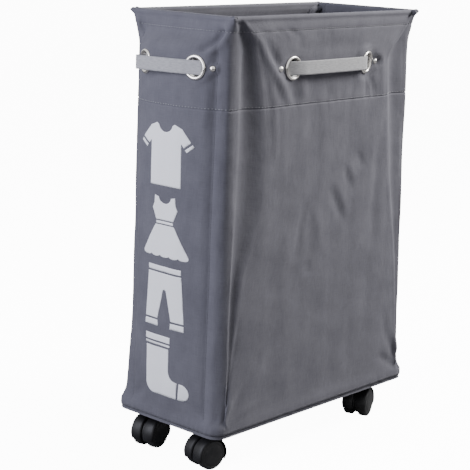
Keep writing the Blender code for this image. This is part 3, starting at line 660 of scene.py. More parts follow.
# ---- materials ----------------------------------------------------------------------------------
class Nodes:
    """Short way to build a material's nodes."""

    def __init__(self, name, roughness, metallic=0.0, specular=0.5, sheen=0.0):
        self.material = bpy.data.materials.new(name)
        self.material.use_nodes = True
        self.tree = self.material.node_tree
        self.shader = self.tree.nodes["Principled BSDF"]
        for socket, value in (("Roughness", roughness), ("Metallic", metallic),
                              ("Specular IOR Level", specular), ("Sheen Weight", sheen)):
            self.shader.inputs[socket].default_value = value

    def add(self, kind, inputs=None, **settings):
        node = self.tree.nodes.new("ShaderNode" + kind)
        for key, value in settings.items():
            setattr(node, key, value)
        for key, value in (inputs or {}).items():
            if isinstance(value, bpy.types.NodeSocket):
                self.tree.links.new(value, node.inputs[key])
            else:
                node.inputs[key].default_value = value
        return node

    def place(self):
        return self.add("TexCoord").outputs["Object"]

    def weave(self):
        """The piece's weave coordinates, and the two of them that run along the cloth."""
        weave = self.add("Attribute", attribute_name="weave").outputs["Vector"]
        parts = self.add("SeparateXYZ", {"Vector": weave}).outputs
        return weave, parts["X"], parts["Y"]

    def math(self, operation, first, second=0.0):
        return self.add("Math", {0: first, 1: second}, operation=operation).outputs[0]

    def wave(self, value, pitch):
        return self.math("SINE", self.math("MULTIPLY", value, math.tau / pitch))

    def total(self, first, first_share, second, second_share):
        return self.math("ADD", self.math("MULTIPLY", first, first_share),
                         self.math("MULTIPLY", second, second_share))

    def ramp(self, value, low, high, to_low=0.0, to_high=1.0):
        return self.add("MapRange", {"Value": value, "From Min": low, "From Max": high, "To Min": to_low,
                                     "To Max": to_high}).outputs[0]

    def noise(self, vector, scale, detail=3.0, roughness=0.55):
        """Noise of one scale, or of three along the vector's axes."""
        if isinstance(scale, tuple):
            vector = self.add("VectorMath", {0: vector, 1: scale}, operation="MULTIPLY").outputs[0]
            scale = 1.0
        return self.add("TexNoise", {"Vector": vector, "Scale": scale, "Detail": detail,
                                     "Roughness": roughness}).outputs["Fac"]

    def tint(self, share, first, second):
        node = self.tree.nodes.new("ShaderNodeMix")
        node.data_type = "RGBA"
        self.tree.links.new(share, node.inputs["Factor"])
        node.inputs[6].default_value = (*first, 1.0)
        node.inputs[7].default_value = (*second, 1.0)
        self.tree.links.new(node.outputs[2], self.shader.inputs["Base Color"])

    def rough(self, socket):
        self.tree.links.new(socket, self.shader.inputs["Roughness"])

    def bump(self, height, strength, distance, normal=None):
        """Bump on top of another one's normal, if given. The shader takes the last one made."""
        inputs = {"Height": height, "Strength": strength, "Distance": distance}
        if normal is not None:
            inputs["Normal"] = normal
        socket = self.add("Bump", inputs).outputs[0]
        self.tree.links.new(socket, self.shader.inputs["Normal"])
        return socket


WEAVE_PITCH = 0.00062                # of the cloth's threads
RIB_PITCH, LINE_PITCH = 0.0011, 0.0013            # of the webbing's ribs and lines


def weave_height(nodes, along, across):
    """Plain weave: warp and weft humps that take turns."""
    waves = [nodes.wave(value, 2.0 * WEAVE_PITCH) for value in (along, across)]
    checker = nodes.math("MULTIPLY", waves[0], waves[1])
    return nodes.math("ADD", checker, nodes.math("MULTIPLY", nodes.math("ABSOLUTE", waves[0]), 0.5))


def cloth_material(name, dark, light, roughness=0.82):
    """Dyed polyester in a plain weave with uneven threads."""
    nodes = Nodes(name, roughness, specular=0.16, sheen=0.05)
    nodes.shader.inputs["Sheen Roughness"].default_value = 0.45
    weave, along, across = nodes.weave()
    mottle = nodes.noise(nodes.place(), 24.0, 4.0)
    slubs = nodes.total(nodes.noise(weave, (1500.0, 60.0, 1.0), 2.0), 0.5,
                        nodes.noise(weave, (60.0, 1500.0, 1.0), 2.0), 0.5)
    nodes.tint(nodes.ramp(nodes.total(mottle, 0.55, slubs, 0.75), 0.45, 0.85), dark, light)
    nodes.rough(nodes.ramp(slubs, 0.35, 0.65, roughness - 0.08, roughness + 0.08))
    threads = nodes.bump(weave_height(nodes, along, across), 0.35, 0.00012)
    creases = nodes.noise(weave, (130.0, 60.0, 1.0), 6.0, 0.65)
    nodes.bump(creases, 0.42, 0.0011, threads)
    return nodes.material


def webbing_material(name, dark, light):
    """Woven webbing: ribs across it, fine lines along it and a tighter edge. Its colour darkens in the
    troughs between ribs and lines: painted shade.
    """
    nodes = Nodes(name, 0.66, specular=0.22, sheen=0.08)
    weave, along, across = nodes.weave()
    ribs, lines = nodes.wave(along, RIB_PITCH), nodes.wave(across, LINE_PITCH)
    height = nodes.total(nodes.math("MULTIPLY", ribs, lines), 0.5, lines, 0.5)
    uneven = nodes.noise(weave, (160.0, 900.0, 1.0))
    edge = nodes.ramp(nodes.math("ABSOLUTE", across), STRAP_WIDTH * 0.40, STRAP_WIDTH * 0.47)
    # uneven yarn tone, and painted shade that darkens the troughs between ribs and lines
    yarn_tone_and_trough_shade = nodes.ramp(nodes.total(uneven, 0.8, height, 0.16), 0.20, 0.65)
    nodes.tint(nodes.math("SUBTRACT", yarn_tone_and_trough_shade, nodes.math("MULTIPLY", edge, 0.35)), dark, light)
    nodes.rough(nodes.ramp(uneven, 0.3, 0.7, 0.52, 0.72))
    nodes.bump(height, 0.5, 0.00022)
    return nodes.material


def metal_material(name, colour, worn, roughness, scratch=0.20):
    """Plated metal with fine scratches and a slightly uneven polish."""
    nodes = Nodes(name, roughness, metallic=1.0)
    place = nodes.place()
    cloud = nodes.noise(place, 160.0, 4.0)
    scratches = nodes.noise(place, (900.0, 120.0, 2600.0), 2.0)
    nodes.tint(nodes.ramp(cloud, 0.35, 0.75), colour, worn)
    nodes.rough(nodes.ramp(nodes.math("ADD", cloud, scratches), 0.7, 1.4, roughness * 0.75, roughness * 1.6))
    nodes.bump(scratches, scratch, 0.00005)
    return nodes.material


def plastic_material(name, dark, light, roughness):
    """Moulded plastic with a fine spark-eroded grain and a little dust."""
    nodes = Nodes(name, roughness, specular=0.25)
    place = nodes.place()
    grain = nodes.noise(place, 1260.0)
    dust = nodes.noise(place, 55.0, 5.0, 0.65)
    nodes.tint(nodes.ramp(dust, 0.45, 0.80), dark, light)
    nodes.rough(nodes.ramp(nodes.math("ADD", grain, dust), 0.7, 1.4, roughness - 0.08, roughness + 0.14))
    nodes.bump(grain, 0.30, 0.00010)
    return nodes.material


def board_material(name, dark, light):
    """Brown fibreboard."""
    nodes = Nodes(name, 0.78, specular=0.30)
    place = nodes.place()
    fibres = nodes.noise(place, (700.0, 260.0, 500.0), 4.0, 0.7)
    nodes.tint(nodes.ramp(nodes.total(fibres, 0.7, nodes.noise(place, 30.0), 0.3), 0.35, 0.65), dark, light)
    nodes.bump(fibres, 0.4, 0.00025)
    return nodes.material


def ink_material(name, thin, full):
    """White print that has sunk a little into the weave."""
    nodes = Nodes(name, 0.66, specular=0.35)
    weave, along, across = nodes.weave()
    wear = nodes.noise(weave, (700.0, 700.0, 1.0), 4.0, 0.7)
    height = weave_height(nodes, along, across)
    nodes.tint(nodes.ramp(nodes.total(wear, 0.85, height, 0.06), 0.22, 0.55), thin, full)
    nodes.bump(height, 0.25, 0.00008)
    return nodes.material


def thread_material(name, colour):
    """Twisted sewing thread."""
    nodes = Nodes(name, 0.55, specular=0.45)
    twist = nodes.noise(nodes.place(), 2600.0, 2.0)
    nodes.tint(nodes.ramp(twist, 0.35, 0.65), tuple(0.6 * part for part in colour), colour)
    nodes.bump(twist, 0.4, 0.00008)
    return nodes.material


BAG = cloth_material("bag_weave", (0.103, 0.102, 0.121), (0.152, 0.151, 0.174))
LINING = cloth_material("lining_weave", (0.020, 0.021, 0.026), (0.034, 0.035, 0.042), 0.70)
WEBBING = webbing_material("strap_weave", (0.30, 0.30, 0.315), (0.52, 0.52, 0.53))
NICKEL = metal_material("nickel_plate", (0.82, 0.80, 0.76), (0.66, 0.63, 0.58), 0.20)
ZINC = metal_material("zinc_plate", (0.48, 0.49, 0.50), (0.34, 0.34, 0.35), 0.36, 0.35)
ALUMINIUM = metal_material("satin_aluminium", (0.68, 0.69, 0.70), (0.56, 0.57, 0.58), 0.32, 0.35)
HOOD = plastic_material("hood_plastic", (0.009, 0.009, 0.010), (0.020, 0.020, 0.021), 0.46)
TREAD = plastic_material("wheel_plastic", (0.022, 0.022, 0.023), (0.052, 0.051, 0.050), 0.46)
BOARD = board_material("fibreboard", (0.105, 0.075, 0.052), (0.200, 0.150, 0.105))
INK = ink_material("white_print", (0.86, 0.87, 0.90), (0.94, 0.95, 0.97))
THREAD = thread_material("dark_thread", (0.120, 0.123, 0.140))
PALE_THREAD = thread_material("pale_thread", (0.40, 0.40, 0.42))


# ---- the bag ------------------------------------------------------------------------------------
BAG_ROWS = 170
SEAM_ROWS = (-0.0024, -0.0012, -0.0005, 0.0, 0.0005, 0.0012, 0.0024)
SEAM_ROW_GAP = 0.0009
TUCK = 0.0005                        # how far the walls' top is pulled in behind the hem


def build_bag():
    """The walls. Their rows are even, and closer at the stitched seam, and the top tucks into the hem."""
    close = [seam_z + step for step in SEAM_ROWS]
    even = [z for z in np.linspace(FOOT_Z, hem_low + 0.0020, BAG_ROWS)
            if min(abs(z - other) for other in close) > SEAM_ROW_GAP]
    z = np.array(sorted(even + close))
    points, normal = cloth(z)
    tuck = TUCK * smooth(z, hem_low - 0.0010, hem_low + 0.0006)
    bag = cloth_piece("bag_cloth", points - normal * tuck[:, None, None], BAG, BAG_CLOTH, holes=True)
    settle(bag, "bag_cloth", "bag", *PANELS)


FACING_ROWS = 44
FACING_HEM = 0.004                   # how far it reaches below its seam
FACING_GAP, FACING_GAP_SEWN = 0.0022, 0.0015      # behind the cloth's outside, hanging and at the seam


def build_facing():
    """Inner facing: a band of cloth sewn in behind the eyelets."""
    z = np.linspace(seam_z - FACING_HEM, hem_low + 0.002, FACING_ROWS)
    points, normal = cloth(z)
    gap = between(FACING_GAP, FACING_GAP_SEWN, smooth(seam_z + FACING_HEM - z, 0.0, 2 * FACING_HEM))
    facing = cloth_piece("inner_facing", points - normal * gap[:, None, None], LINING, FACING_CLOTH,
                         holes=True)
    settle(facing, "facing_cloth", "bag", "top_facing")


# Rows of the hem's outside above its lower edge, how far each is pulled in, and how thick the folded
# hem is at its lower edge and how much more higher up.
HEM_ROWS = mm((-0.4, 0.8, 2.8, 5.5, 8.5, 11.0, 13.0))[0]
HEM_PULL = mm((0.7, 0.0, -0.3, -0.3, 0.0, 0.4, 0.8))[0]
HEM_THICK, HEM_THICKER = 0.0040, 0.0030
EAR_NARROWING = 0.45                 # of the bead, where the cloth stands past the wire by
EAR_SPAN = (0.0004, 0.0030)          # more than the first distance, and fully from the second


def build_hem():
    """The hem: cloth folded over the rim wire and sewn down, with a round bead along its top."""
    bead_z = middle("rim_wire").z
    bead_radius = hem_high - bead_z
    levels = hem_low + np.array(HEM_ROWS)
    outer, normal = cloth(np.append(levels, bead_z))
    rim_line = outer[-1]
    level_out = normal * np.array((1.0, 1.0, 0.0))
    level_out /= np.linalg.norm(level_out, axis=-1, keepdims=True)
    # how far each point stands outside the wire's own rounded rectangle
    past_wire = np.abs(rim_line[:, :2]) - np.array((rim_half.x - RIM_CORNER, rim_half.y - RIM_CORNER))
    ear = np.maximum(np.linalg.norm(np.maximum(past_wire, 0.0), axis=1) - RIM_CORNER, 0.0)
    rows = [outer[index] - level_out[index] * pull for index, pull in enumerate(HEM_PULL)]
    for degrees in range(-25, 206, 23):
        angle = math.radians(degrees)
        radius = bead_radius * (1.0 - EAR_NARROWING * smooth(ear, *EAR_SPAN))
        inset = radius - radius * math.cos(angle) + ear * (1.0 - math.cos(angle)) / 2
        rise = (bead_radius - radius) * 0.8 + radius * math.sin(angle)
        rows.append(rim_line - level_out[-1] * inset[:, None] + np.array((0.0, 0.0, 1.0)) * rise[:, None])
    depth = HEM_THICK + HEM_THICKER * smooth(levels, hem_low, hem_low + HEM_ROWS[-1])
    for index in reversed(range(len(levels))):
        eared = ear[:, None] * smooth(depth[index], 0.0045, 0.007)
        rows.append(outer[index] - level_out[index] * (depth[index] + eared))
    hem = cloth_piece("rim_hem", rows, BAG, HEM_CLOTH)
    settle(hem, "bag_cloth", "bag", "top_hem")


# A stitch's rings: share of its length, share of its radius, and lift in radii.
STITCH_RINGS = ((0.0, 0.35, -0.6), (0.22, 0.9, 0.25), (0.5, 1.0, 0.45), (0.78, 0.9, 0.25), (1.0, 0.35, -0.6))
STITCH_SIDES = 6


def stitch(start, end, normal, radius):
    """One stitch: a slim lens of thread that dives into the cloth at its ends."""
    side = (end - start).cross(normal).normalized()
    points = []
    for share, size, lift in STITCH_RINGS:
        centre = start + (end - start) * share + normal * radius * lift
        for angle in (math.tau * step / STITCH_SIDES for step in range(STITCH_SIDES)):
            points.append(centre + (side * math.cos(angle) + normal * math.sin(angle)) * radius * size)
    return points, capped_faces(len(STITCH_RINGS), STITCH_SIDES)


def stitches_along(line, normals, length, gap, radius, closed=False):
    """A row of stitches along a line of points."""
    line, normals = [Vector(point) for point in line], [Vector(value) for value in normals]
    if closed:
        line, normals = line + line[:1], normals + normals[:1]
    reached = [0.0]
    for before, after in zip(line, line[1:]):
        reached.append(reached[-1] + (after - before).length)
    count = int(reached[-1] / (length + gap))
    pitch = reached[-1] / count

    def at(distance):
        index = min(max(int(np.searchsorted(reached, distance)) - 1, 0), len(line) - 2)
        share = (distance - reached[index]) / max(reached[index + 1] - reached[index], 1e-9)
        normal = normals[index].lerp(normals[index + 1], share).normalized()
        return line[index].lerp(line[index + 1], share), normal

    parts = []
    for number in range(count):
        first, normal = at(number * pitch + gap / 2)
        last, _ = at(number * pitch + gap / 2 + length)
        parts.append(stitch(first, last, normal, radius))
    return parts


LEVEL_STITCH = (0.0025, 0.0021, 0.00036)          # length, gap and radius
UPRIGHT_STITCH = (0.0030, 0.0010, 0.00030)
UPRIGHT_ROWS, UPRIGHT_LIFT = 160, 0.0002


def build_stitching():
    """The rows of stitches that show: round the seam, under the hem, above the base, up the pockets."""
    rows = (("seam_stitches", seam_z + 0.0018, PALE_THREAD),
            ("hem_stitches", hem_low + 0.0014, PALE_THREAD),
            ("base_stitches", FOOT_Z + 0.0030, THREAD))
    for name, height, thread in rows:
        points, normal = cloth(np.array([height - 0.0002, height, height + 0.0002]))
        parts = stitches_along(points[1], normal[1], *LEVEL_STITCH, closed=True)
        settle(add_mesh(name, *joined(parts), thread), "bag_cloth", "bag")
    points, normal = cloth(np.linspace(base_high + 0.008, hem_low - 0.004, UPRIGHT_ROWS))
    parts = []
    for column in seam_columns():
        lifted = points[:, column] + normal[:, column] * UPRIGHT_LIFT
        parts += stitches_along(lifted, normal[:, column], *UPRIGHT_STITCH)
    settle(add_mesh("pocket_stitches", *joined(parts), THREAD), "bag_cloth", "bag")


# ---- the base -----------------------------------------------------------------------------------
BASE_STEP = 0.006                    # between points on the base's straight sides


def base_ring():
    """Outline of the base: even steps round the corners, and points along its straight sides."""
    points = []
    for sign_x, sign_y, start in ((1, 1, 0), (-1, 1, 90), (-1, -1, 180), (1, -1, 270)):
        centre = (sign_x * (base_half.x - BASE_CORNER), sign_y * (base_half.y - BASE_CORNER))
        points += arc_points(centre, BASE_CORNER, start, start + 90, 8)
    full = []
    for point, after in zip(points, points[1:] + points[:1]):
        gap = math.dist(point, after)
        parts = max(1, round(gap / BASE_STEP))
        full += [(between(point[0], after[0], part / parts), between(point[1], after[1], part / parts))
                 for part in range(parts)]
    return full


# Section of the base cover as (inset, height): from below the board, round the cord, up the band
# around the board, over it and down behind. Heights are from the base's bottom or its top.
COVER_UNDER = mm((30, 0.2), (4.4, 0), (2.8, 0.1))
COVER_CORD = (0.0018, 0.0026, 0.0024)             # the cord's middle, and its radius
COVER_TOP = mm((1.8, -3), (2.2, -0.8), (3, 0), (4.4, -0.6), (5.2, -4))
COVER_INSIDE = mm((3.6, 4), (3.4, 1.6))
COVER_RIPPLE = 0.00022


def build_base_cover():
    """Cloth under and round the board, with a cord along the bottom edge, where the walls are sewn on."""
    cord_inset, cord_rise, cord_radius = COVER_CORD
    section = [(inset, base_low + rise) for inset, rise in COVER_UNDER]
    section += arc_points((cord_inset, base_low + cord_rise), cord_radius, 255.0, 105.0, 6)
    section.append((cord_inset, base_low + 0.0056))
    section += [(inset, base_high + rise) for inset, rise in COVER_TOP]
    section += [(inset, base_low + rise) for inset, rise in COVER_INSIDE]
    ring = base_ring()
    points = []
    for inset, height in section:
        for x, y in ring:
            away_x = max(abs(x) - (base_half.x - BASE_CORNER), 0.0)
            away_y = max(abs(y) - (base_half.y - BASE_CORNER), 0.0)
            length = math.hypot(away_x, away_y)
            ripple = COVER_RIPPLE * math.sin(x * 700.0 + y * 620.0)
            ripple *= float(smooth(height, base_low + 0.004, base_high))
            points.append((x - math.copysign(away_x / length * inset, x),
                           y - math.copysign(away_y / length * inset, y), height + ripple))
    count = len(ring)
    band = points[4 * count:5 * count]
    reached = np.cumsum([0.0] + [math.dist(a, b) for a, b in zip(band, band[1:])])
    climb = np.cumsum([0.0] + [math.dist(a, b) for a, b in zip(section, section[1:])])
    weave = [(around, height, 0.0) for height in climb for around in reached]
    cover = add_mesh("base_cover", points, capped_faces(len(section), count), BAG, 60.0, weave)
    settle(cover, "bag_cloth", "bag", "bottom_cover")


# ---- eyelets, rivets and webbing ------------------------------------------------------------------
def wall_place(side, sign, shift):
    """At an eyelet, or shift towards the corner from it, with +Z out of the wall."""
    along, out, height, turn, nod, rivet_turn = eyelet_places(side)[0 if sign < 0 else 1]
    if shift:
        turn, nod = rivet_turn, 0.0
    face = Matrix.Rotation(turn, 4, "Z") @ Matrix.Rotation(math.radians(90) + nod, 4, "X")
    place = turn_matrix(side) @ Matrix.Translation(Vector((along, -out, height))) @ face
    return place @ Matrix.Translation(Vector((sign * shift, 0.0, 0.0)))


EYELET_CROWN = 0.0023
RIVET_HEAD = mm((0, 2.8), (1, 2.7), (2.1, 2.3), (3, 1.6), (3.6, 0.8), (3.9, 0.2), (3.6, -0.1), (1.6, 0))
RIVET_BACK = mm((1.6, 0), (3.5, -0.1), (3.7, -0.6), (2.8, -1), (0, -1.1))      # from behind the wall


def build_eyelet(side, hand, sign):
    """Ring with a round crown in front of the wall, a barrel through it and a rolled edge behind."""
    centre, half_width = (EYELET_INNER + EYELET_OUTER) / 2, (EYELET_OUTER - EYELET_INNER) / 2
    profile = [(EYELET_INNER, -WALL - 0.0010), (EYELET_INNER, 0.0)]
    for step in range(13):
        angle = math.pi - math.pi * step / 12
        rise = 0.0003 + EYELET_CROWN * math.sin(angle) ** 0.75
        profile.append((centre + half_width * math.cos(angle), rise))
    profile += [(EYELET_OUTER - 0.0003, 0.0), (EYELET_BARREL + 0.0003, 0.0001), (EYELET_BARREL, -0.0004),
                (EYELET_BARREL, -WALL - 0.0001), (EYELET_OUTER - 0.0022, -WALL - 0.0003),
                (EYELET_OUTER - 0.0016, -WALL - 0.0007), (EYELET_OUTER - 0.0020, -WALL - 0.0012),
                (EYELET_BARREL + 0.0004, -WALL - 0.0014)]
    mesh = lathe(profile, 56, wall_place(side, sign, 0.0), closed=True)
    eyelet = add_mesh("%s_eyelet_ring_%s" % (side, hand), *mesh, NICKEL, 50.0)
    settle(eyelet, "bright_steel", "bag", "%s_eyelet_%s" % (side, hand))


def build_rivet(side, hand, sign):
    profile = list(RIVET_HEAD) + [(radius, rise - WALL) for radius, rise in RIVET_BACK]
    mesh = lathe(profile, 28, wall_place(side, sign, RIVET_OFFSET))
    rivet = add_mesh("%s_rivet_cap_%s" % (side, hand), *mesh, NICKEL, 50.0)
    settle(rivet, "bright_steel", "bag", "%s_rivet_%s" % (side, hand))


def eased(points, spacing):
    """Even points along a smooth curve through the given ones, by Catmull-Rom spans."""
    line = [np.array(point, float) for point in points]
    line = [2 * line[0] - line[1]] + line + [2 * line[-1] - line[-2]]
    fine = []
    for a, b, c, d in zip(line, line[1:], line[2:], line[3:]):
        for t in np.arange(24) / 24:
            fine.append(0.5 * (2 * b + (c - a) * t + (2 * a - 5 * b + 4 * c - d) * t * t
                               + (3 * b - a - 3 * c + d) * t ** 3))
    fine = np.array(fine + [line[-2]])
    reached = np.concatenate([[0.0], np.cumsum(np.linalg.norm(np.diff(fine, axis=0), axis=1))])
    wanted = np.linspace(0.0, reached[-1], max(2, int(reached[-1] / spacing)) + 1)
    even = [np.interp(wanted, reached, fine[:, axis]) for axis in range(fine.shape[1])]
    return np.stack(even, axis=1), wanted


STRAP_STEP = 0.0016


def strap_body(side, route, height, skew=0.0):
    """A strap along a route of (along, out), as a closed body with soft edges."""
    path, reached = eased(route, STRAP_STEP)
    tangent = np.gradient(path, axis=0)
    tangent /= np.linalg.norm(tangent, axis=1, keepdims=True)
    across = np.stack([tangent[:, 1], -tangent[:, 0]], axis=1)
    half, thick = STRAP_WIDTH / 2, STRAP_CLOTH / 2
    upper = [(-half, 0.0), (-half + 0.0004, thick * 0.8), (-half + 0.0014, thick)]
    upper += [(share * half, thick) for share in (-0.6, -0.3, 0.0, 0.3, 0.6)]
    upper += [(half - 0.0014, thick), (half - 0.0004, thick * 0.8), (half, 0.0)]
    section = upper + [(rise, -lift) for rise, lift in reversed(upper[1:-1])]
    points, weave = [], []
    for spot, outwards, onwards, length in zip(path, across, tangent, reached):
        for rise, lift in section:
            bend = skew * rise * float(smooth(spot[0], *SKEW_SPAN))      # only near the right eyelet
            along, out = spot + outwards * lift + onwards * bend
            points.append(to_world(side, along, out, height + rise))
            weave.append((length, rise, 0.0))
    return points, capped_faces(len(path), len(section)), weave


# The webbing's way through its two eyelets, as (along, out).
WIDE_BOW = mm((-85, 85.8), (-84, 88.4), (-80, 90.8), (-74, 93.4), (-66, 95.8), (-56, 97.4), (-30, 98),
              (0, 98.4), (35, 98.5), (60, 97.9), (67, 96.2), (72.5, 93), (74.6, 89.6), (75.2, 85.8))
LEFT_BOW = mm((52.8, 197.5), (52.6, 200.5), (50.5, 202.8), (44, 205), (35, 207.8), (27, 210.2), (15, 212.8),
              (0, 215), (-25, 217.8), (-42.5, 219.8), (-44.7, 219.4), (-45.2, 217.5), (-45, 212), (-44, 206),
              (-43.6, 200))
RIGHT_BOW = mm((-48, 197.5), (-47.6, 201.5), (-44.5, 206), (-36, 212), (-20, 216.6), (0, 218), (20, 216.6),
               (36, 212), (44.5, 206), (47.6, 201.5), (48, 197.5))
BOWS = {"front": WIDE_BOW, "back": WIDE_BOW, "left": LEFT_BOW, "right": RIGHT_BOW}
END_SKEW = 0.25                      # the upper edge of a wide strap reaches further into its right eyelet
SKEW_SPAN = (0.050, 0.066)
# Inside the bag, its ends run from the eyelets to the rivets: reach from the eyelet, and depth.
STRAP_END = mm((3, -3.4), (5, -5.2), (9, -6), (20, -6.4), (27.2, -7.2))


def build_strap(side):
    height = eyelet_places(side)[0][2]
    *mesh, weave = strap_body(side, BOWS[side], height, END_SKEW if side in WIDE else 0.0)
    strap = add_mesh(side + "_webbing", *mesh, WEBBING, 60.0, weave)
    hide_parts(side + "_strap")
    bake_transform(strap)
    parts = []
    for sign in (-1, 1):
        place = turn_matrix(side).inverted() @ wall_place(side, sign, RIVET_OFFSET)
        spots = [place @ Vector((sign * (reach - RIVET_OFFSET), 0.0, lift)) for reach, lift in STRAP_END]
        parts.append(strap_body(side, [(spot.x, -spot.y) for spot in spots], height))
    weave = [value for part in parts for value in part[2]]
    ends = add_mesh(side + "_webbing_ends", *joined([part[:2] for part in parts]), WEBBING, 60.0, weave)
    settle(ends, "webbing", "bag")


# ---- the printed pictures -------------------------------------------------------------------------
# A picture is a list of outlines, each 1 high and in widths of the print, from its lower middle.
def both_sides(half):
    """Closed outline from its half with x of 0 or more, top to bottom."""
    return half + mirrored(point for point in half if point[0] > 1e-6)


def mirrored(outline):
    return [(-x, y) for x, y in reversed(list(outline))]


def box_outline(low_x, low_y, high_x, high_y):
    return [(high_x, high_y), (high_x, low_y), (low_x, low_y), (low_x, high_y)]


def shirt():
    """T-shirt with set-off sleeve cuffs and a round neck."""
    body = arc_points((0.0, 0.985), 0.135, -90.0, -12.0, 8)
    body += [(0.170, 0.985), (0.300, 0.930), (0.452, 0.735), (0.335, 0.640), (0.290, 0.700), (0.290, 0.0),
             (0.0, 0.0)]
    cuff = [(0.474, 0.705), (0.500, 0.668), (0.384, 0.575), (0.354, 0.612)]
    return [both_sides(body), cuff, mirrored(cuff)]


def dress():
    """Sleeveless dress with a belt and a scalloped hem."""
    top = arc_points((0.0, 0.985), 0.120, -90.0, -10.0, 8)
    top += [(0.195, 0.985), (0.205, 0.860), (0.240, 0.780), (0.165, 0.600), (0.0, 0.600)]
    skirt = [(0.0, 0.520), (0.175, 0.520), (0.4375, 0.060)]
    for centre in (0.350, 0.175, 0.0):
        arc = arc_points((centre, 0.035), 0.0875, 0.0, -180.0, 8)
        skirt += [(x, 0.035 + 0.4 * (y - 0.035)) for x, y in arc if x > -1e-6]
    return [both_sides(top), box_outline(-0.160, 0.540, 0.160, 0.580), both_sides(skirt)]


def trousers():
    """Trousers with a waistband and turn-ups."""
    legs = [(0.0, 0.885), (0.325, 0.885), (0.375, 0.125), (0.135, 0.125), (0.035, 0.600), (0.0, 0.625)]
    turn_up = [(0.378, 0.095), (0.384, 0.0), (0.118, 0.0), (0.130, 0.095)]
    return [box_outline(-0.320, 0.915, 0.320, 1.0), both_sides(legs), turn_up, mirrored(turn_up)]


def sock():
    """Sock with a ribbed cuff, and a toe that is set off."""
    leg = [(-0.350, 0.800), (0.100, 0.800)] + arc_points((0.260, 0.440), 0.160, 180.0, 262.0, 8)
    leg += [(0.270, 0.279), (0.240, 0.0)] + arc_points((-0.190, 0.160), 0.160, 270.0, 180.0, 8)
    toe = [(0.276, 0.0), (0.306, 0.276)] + arc_points((0.340, 0.138), 0.138, 88.0, -88.0, 12)
    return [box_outline(-0.370, 0.900, 0.120, 1.0), box_outline(-0.370, 0.835, 0.120, 0.870), leg, toe]


PRINT_HALF = 0.0455
PRINT_LOW, PRINT_HIGH = 0.0895, 0.4480
PRINT_GAP = 0.0120
PRINT_MARGIN, PRINT_ROWS = 0.004, 150             # of the cloth that it is laid on
PRINT_CELL = 0.0028                  # size of the faces that let it follow the cloth
PRINT_LIFT, PRINT_THICKNESS = 0.00028, 0.00022
PICTURES = (sock, trousers, dress, shirt)


def flat_print():
    """Points and faces of the pictures one above another, flat and cut into small faces."""
    tall = (PRINT_HIGH - PRINT_LOW + PRINT_GAP) / len(PICTURES) - PRINT_GAP
    shape = bmesh.new()
    for number, draw in enumerate(PICTURES):
        start = PRINT_LOW + number * (tall + PRINT_GAP)
        for outline in draw():
            corners = [shape.verts.new((2.0 * PRINT_HALF * x, start + tall * y, 0.0)) for x, y in outline]
            face = shape.faces.new(corners)
            face.normal_update()
            if face.normal.z < 0:
                face.normal_flip()
    bmesh.ops.triangulate(shape, faces=shape.faces)
    for axis, low, high in (((1, 0, 0), -PRINT_HALF, PRINT_HALF), ((0, 1, 0), PRINT_LOW, PRINT_HIGH)):
        for step in range(1, int((high - low) / PRINT_CELL)):
            everything = shape.verts[:] + shape.edges[:] + shape.faces[:]
            bmesh.ops.bisect_plane(shape, geom=everything, plane_co=Vector(axis) * (low + step * PRINT_CELL),
                                   plane_no=Vector(axis), dist=1e-6)
    shape.verts.index_update()
    points = np.array([vertex.co for vertex in shape.verts])
    faces = [tuple(vertex.index for vertex in face.verts) for face in shape.faces]
    shape.free()
    return points, faces


def build_print():
    """Four garments one above another up the left side, printed in white."""
    flat, faces = flat_print()
    z = np.linspace(PRINT_LOW - PRINT_MARGIN, PRINT_HIGH + PRINT_MARGIN, PRINT_ROWS)
    points, _ = cloth(z)
    mine = [index for index, name in enumerate(bare_ring(z[:1])[1]) if name == "left"]
    order = sorted(mine, key=lambda index: -points[0, index, 1])
    along, out = -points[:, order, 1], -points[:, order, 0]
    row = np.clip((flat[:, 1] - z[0]) / (z[1] - z[0]), 0, len(z) - 1.001)
    placed = []
    for (x, height, _), low, share in zip(flat, row.astype(int), row % 1):
        reaches = [np.interp(x, along[level], out[level]) for level in (low, low + 1)]
        placed.append(to_world("left", x, between(*reaches, share) + PRINT_LIFT, height))
    ink = add_mesh("side_print", placed, faces, INK, 180.0, flat, sheet=True)
    add_thickness(ink, PRINT_THICKNESS)
    settle(ink, "webbing", "bag")


# ---- rods and pockets ---------------------------------------------------------------------------
ROD_INSET = 0.010                    # from the cloth's corner, both ways
ROD_RADIUS = 0.0040
POCKET_OUTSIDE, POCKET_INSIDE = 0.00575, 0.00485
POCKET_ROWS, POCKET_COLUMNS = 60, 20
POCKET_COLUMN = 0.0018               # width of a column
# Unevenness of a pocket: height, waves in a turn, and radians of them in a metre of its length.
POCKET_GATHERS = ((0.00022, 5, 40.0), (0.00018, 2, 190.0))
CAP_LENGTH = 0.0138


def rod_line(signs, low, high):
    """Matrix of a rod's leaning line from its low point, and its length."""
    ends = []
    for z in (low, high):
        share = (z - CORNER_LOW_Z) / (CORNER_HIGH_Z - CORNER_LOW_Z)
        x, y = (sign * (between(a, b, share) - ROD_INSET)
                for sign, a, b in zip(signs, CORNER_LOW, CORNER_HIGH))
        ends.append(Vector((x, y, z)))
    turn = (ends[1] - ends[0]).to_track_quat("Z", "Y").to_matrix().to_4x4()
    return Matrix.Translation(ends[0]) @ turn, (ends[1] - ends[0]).length


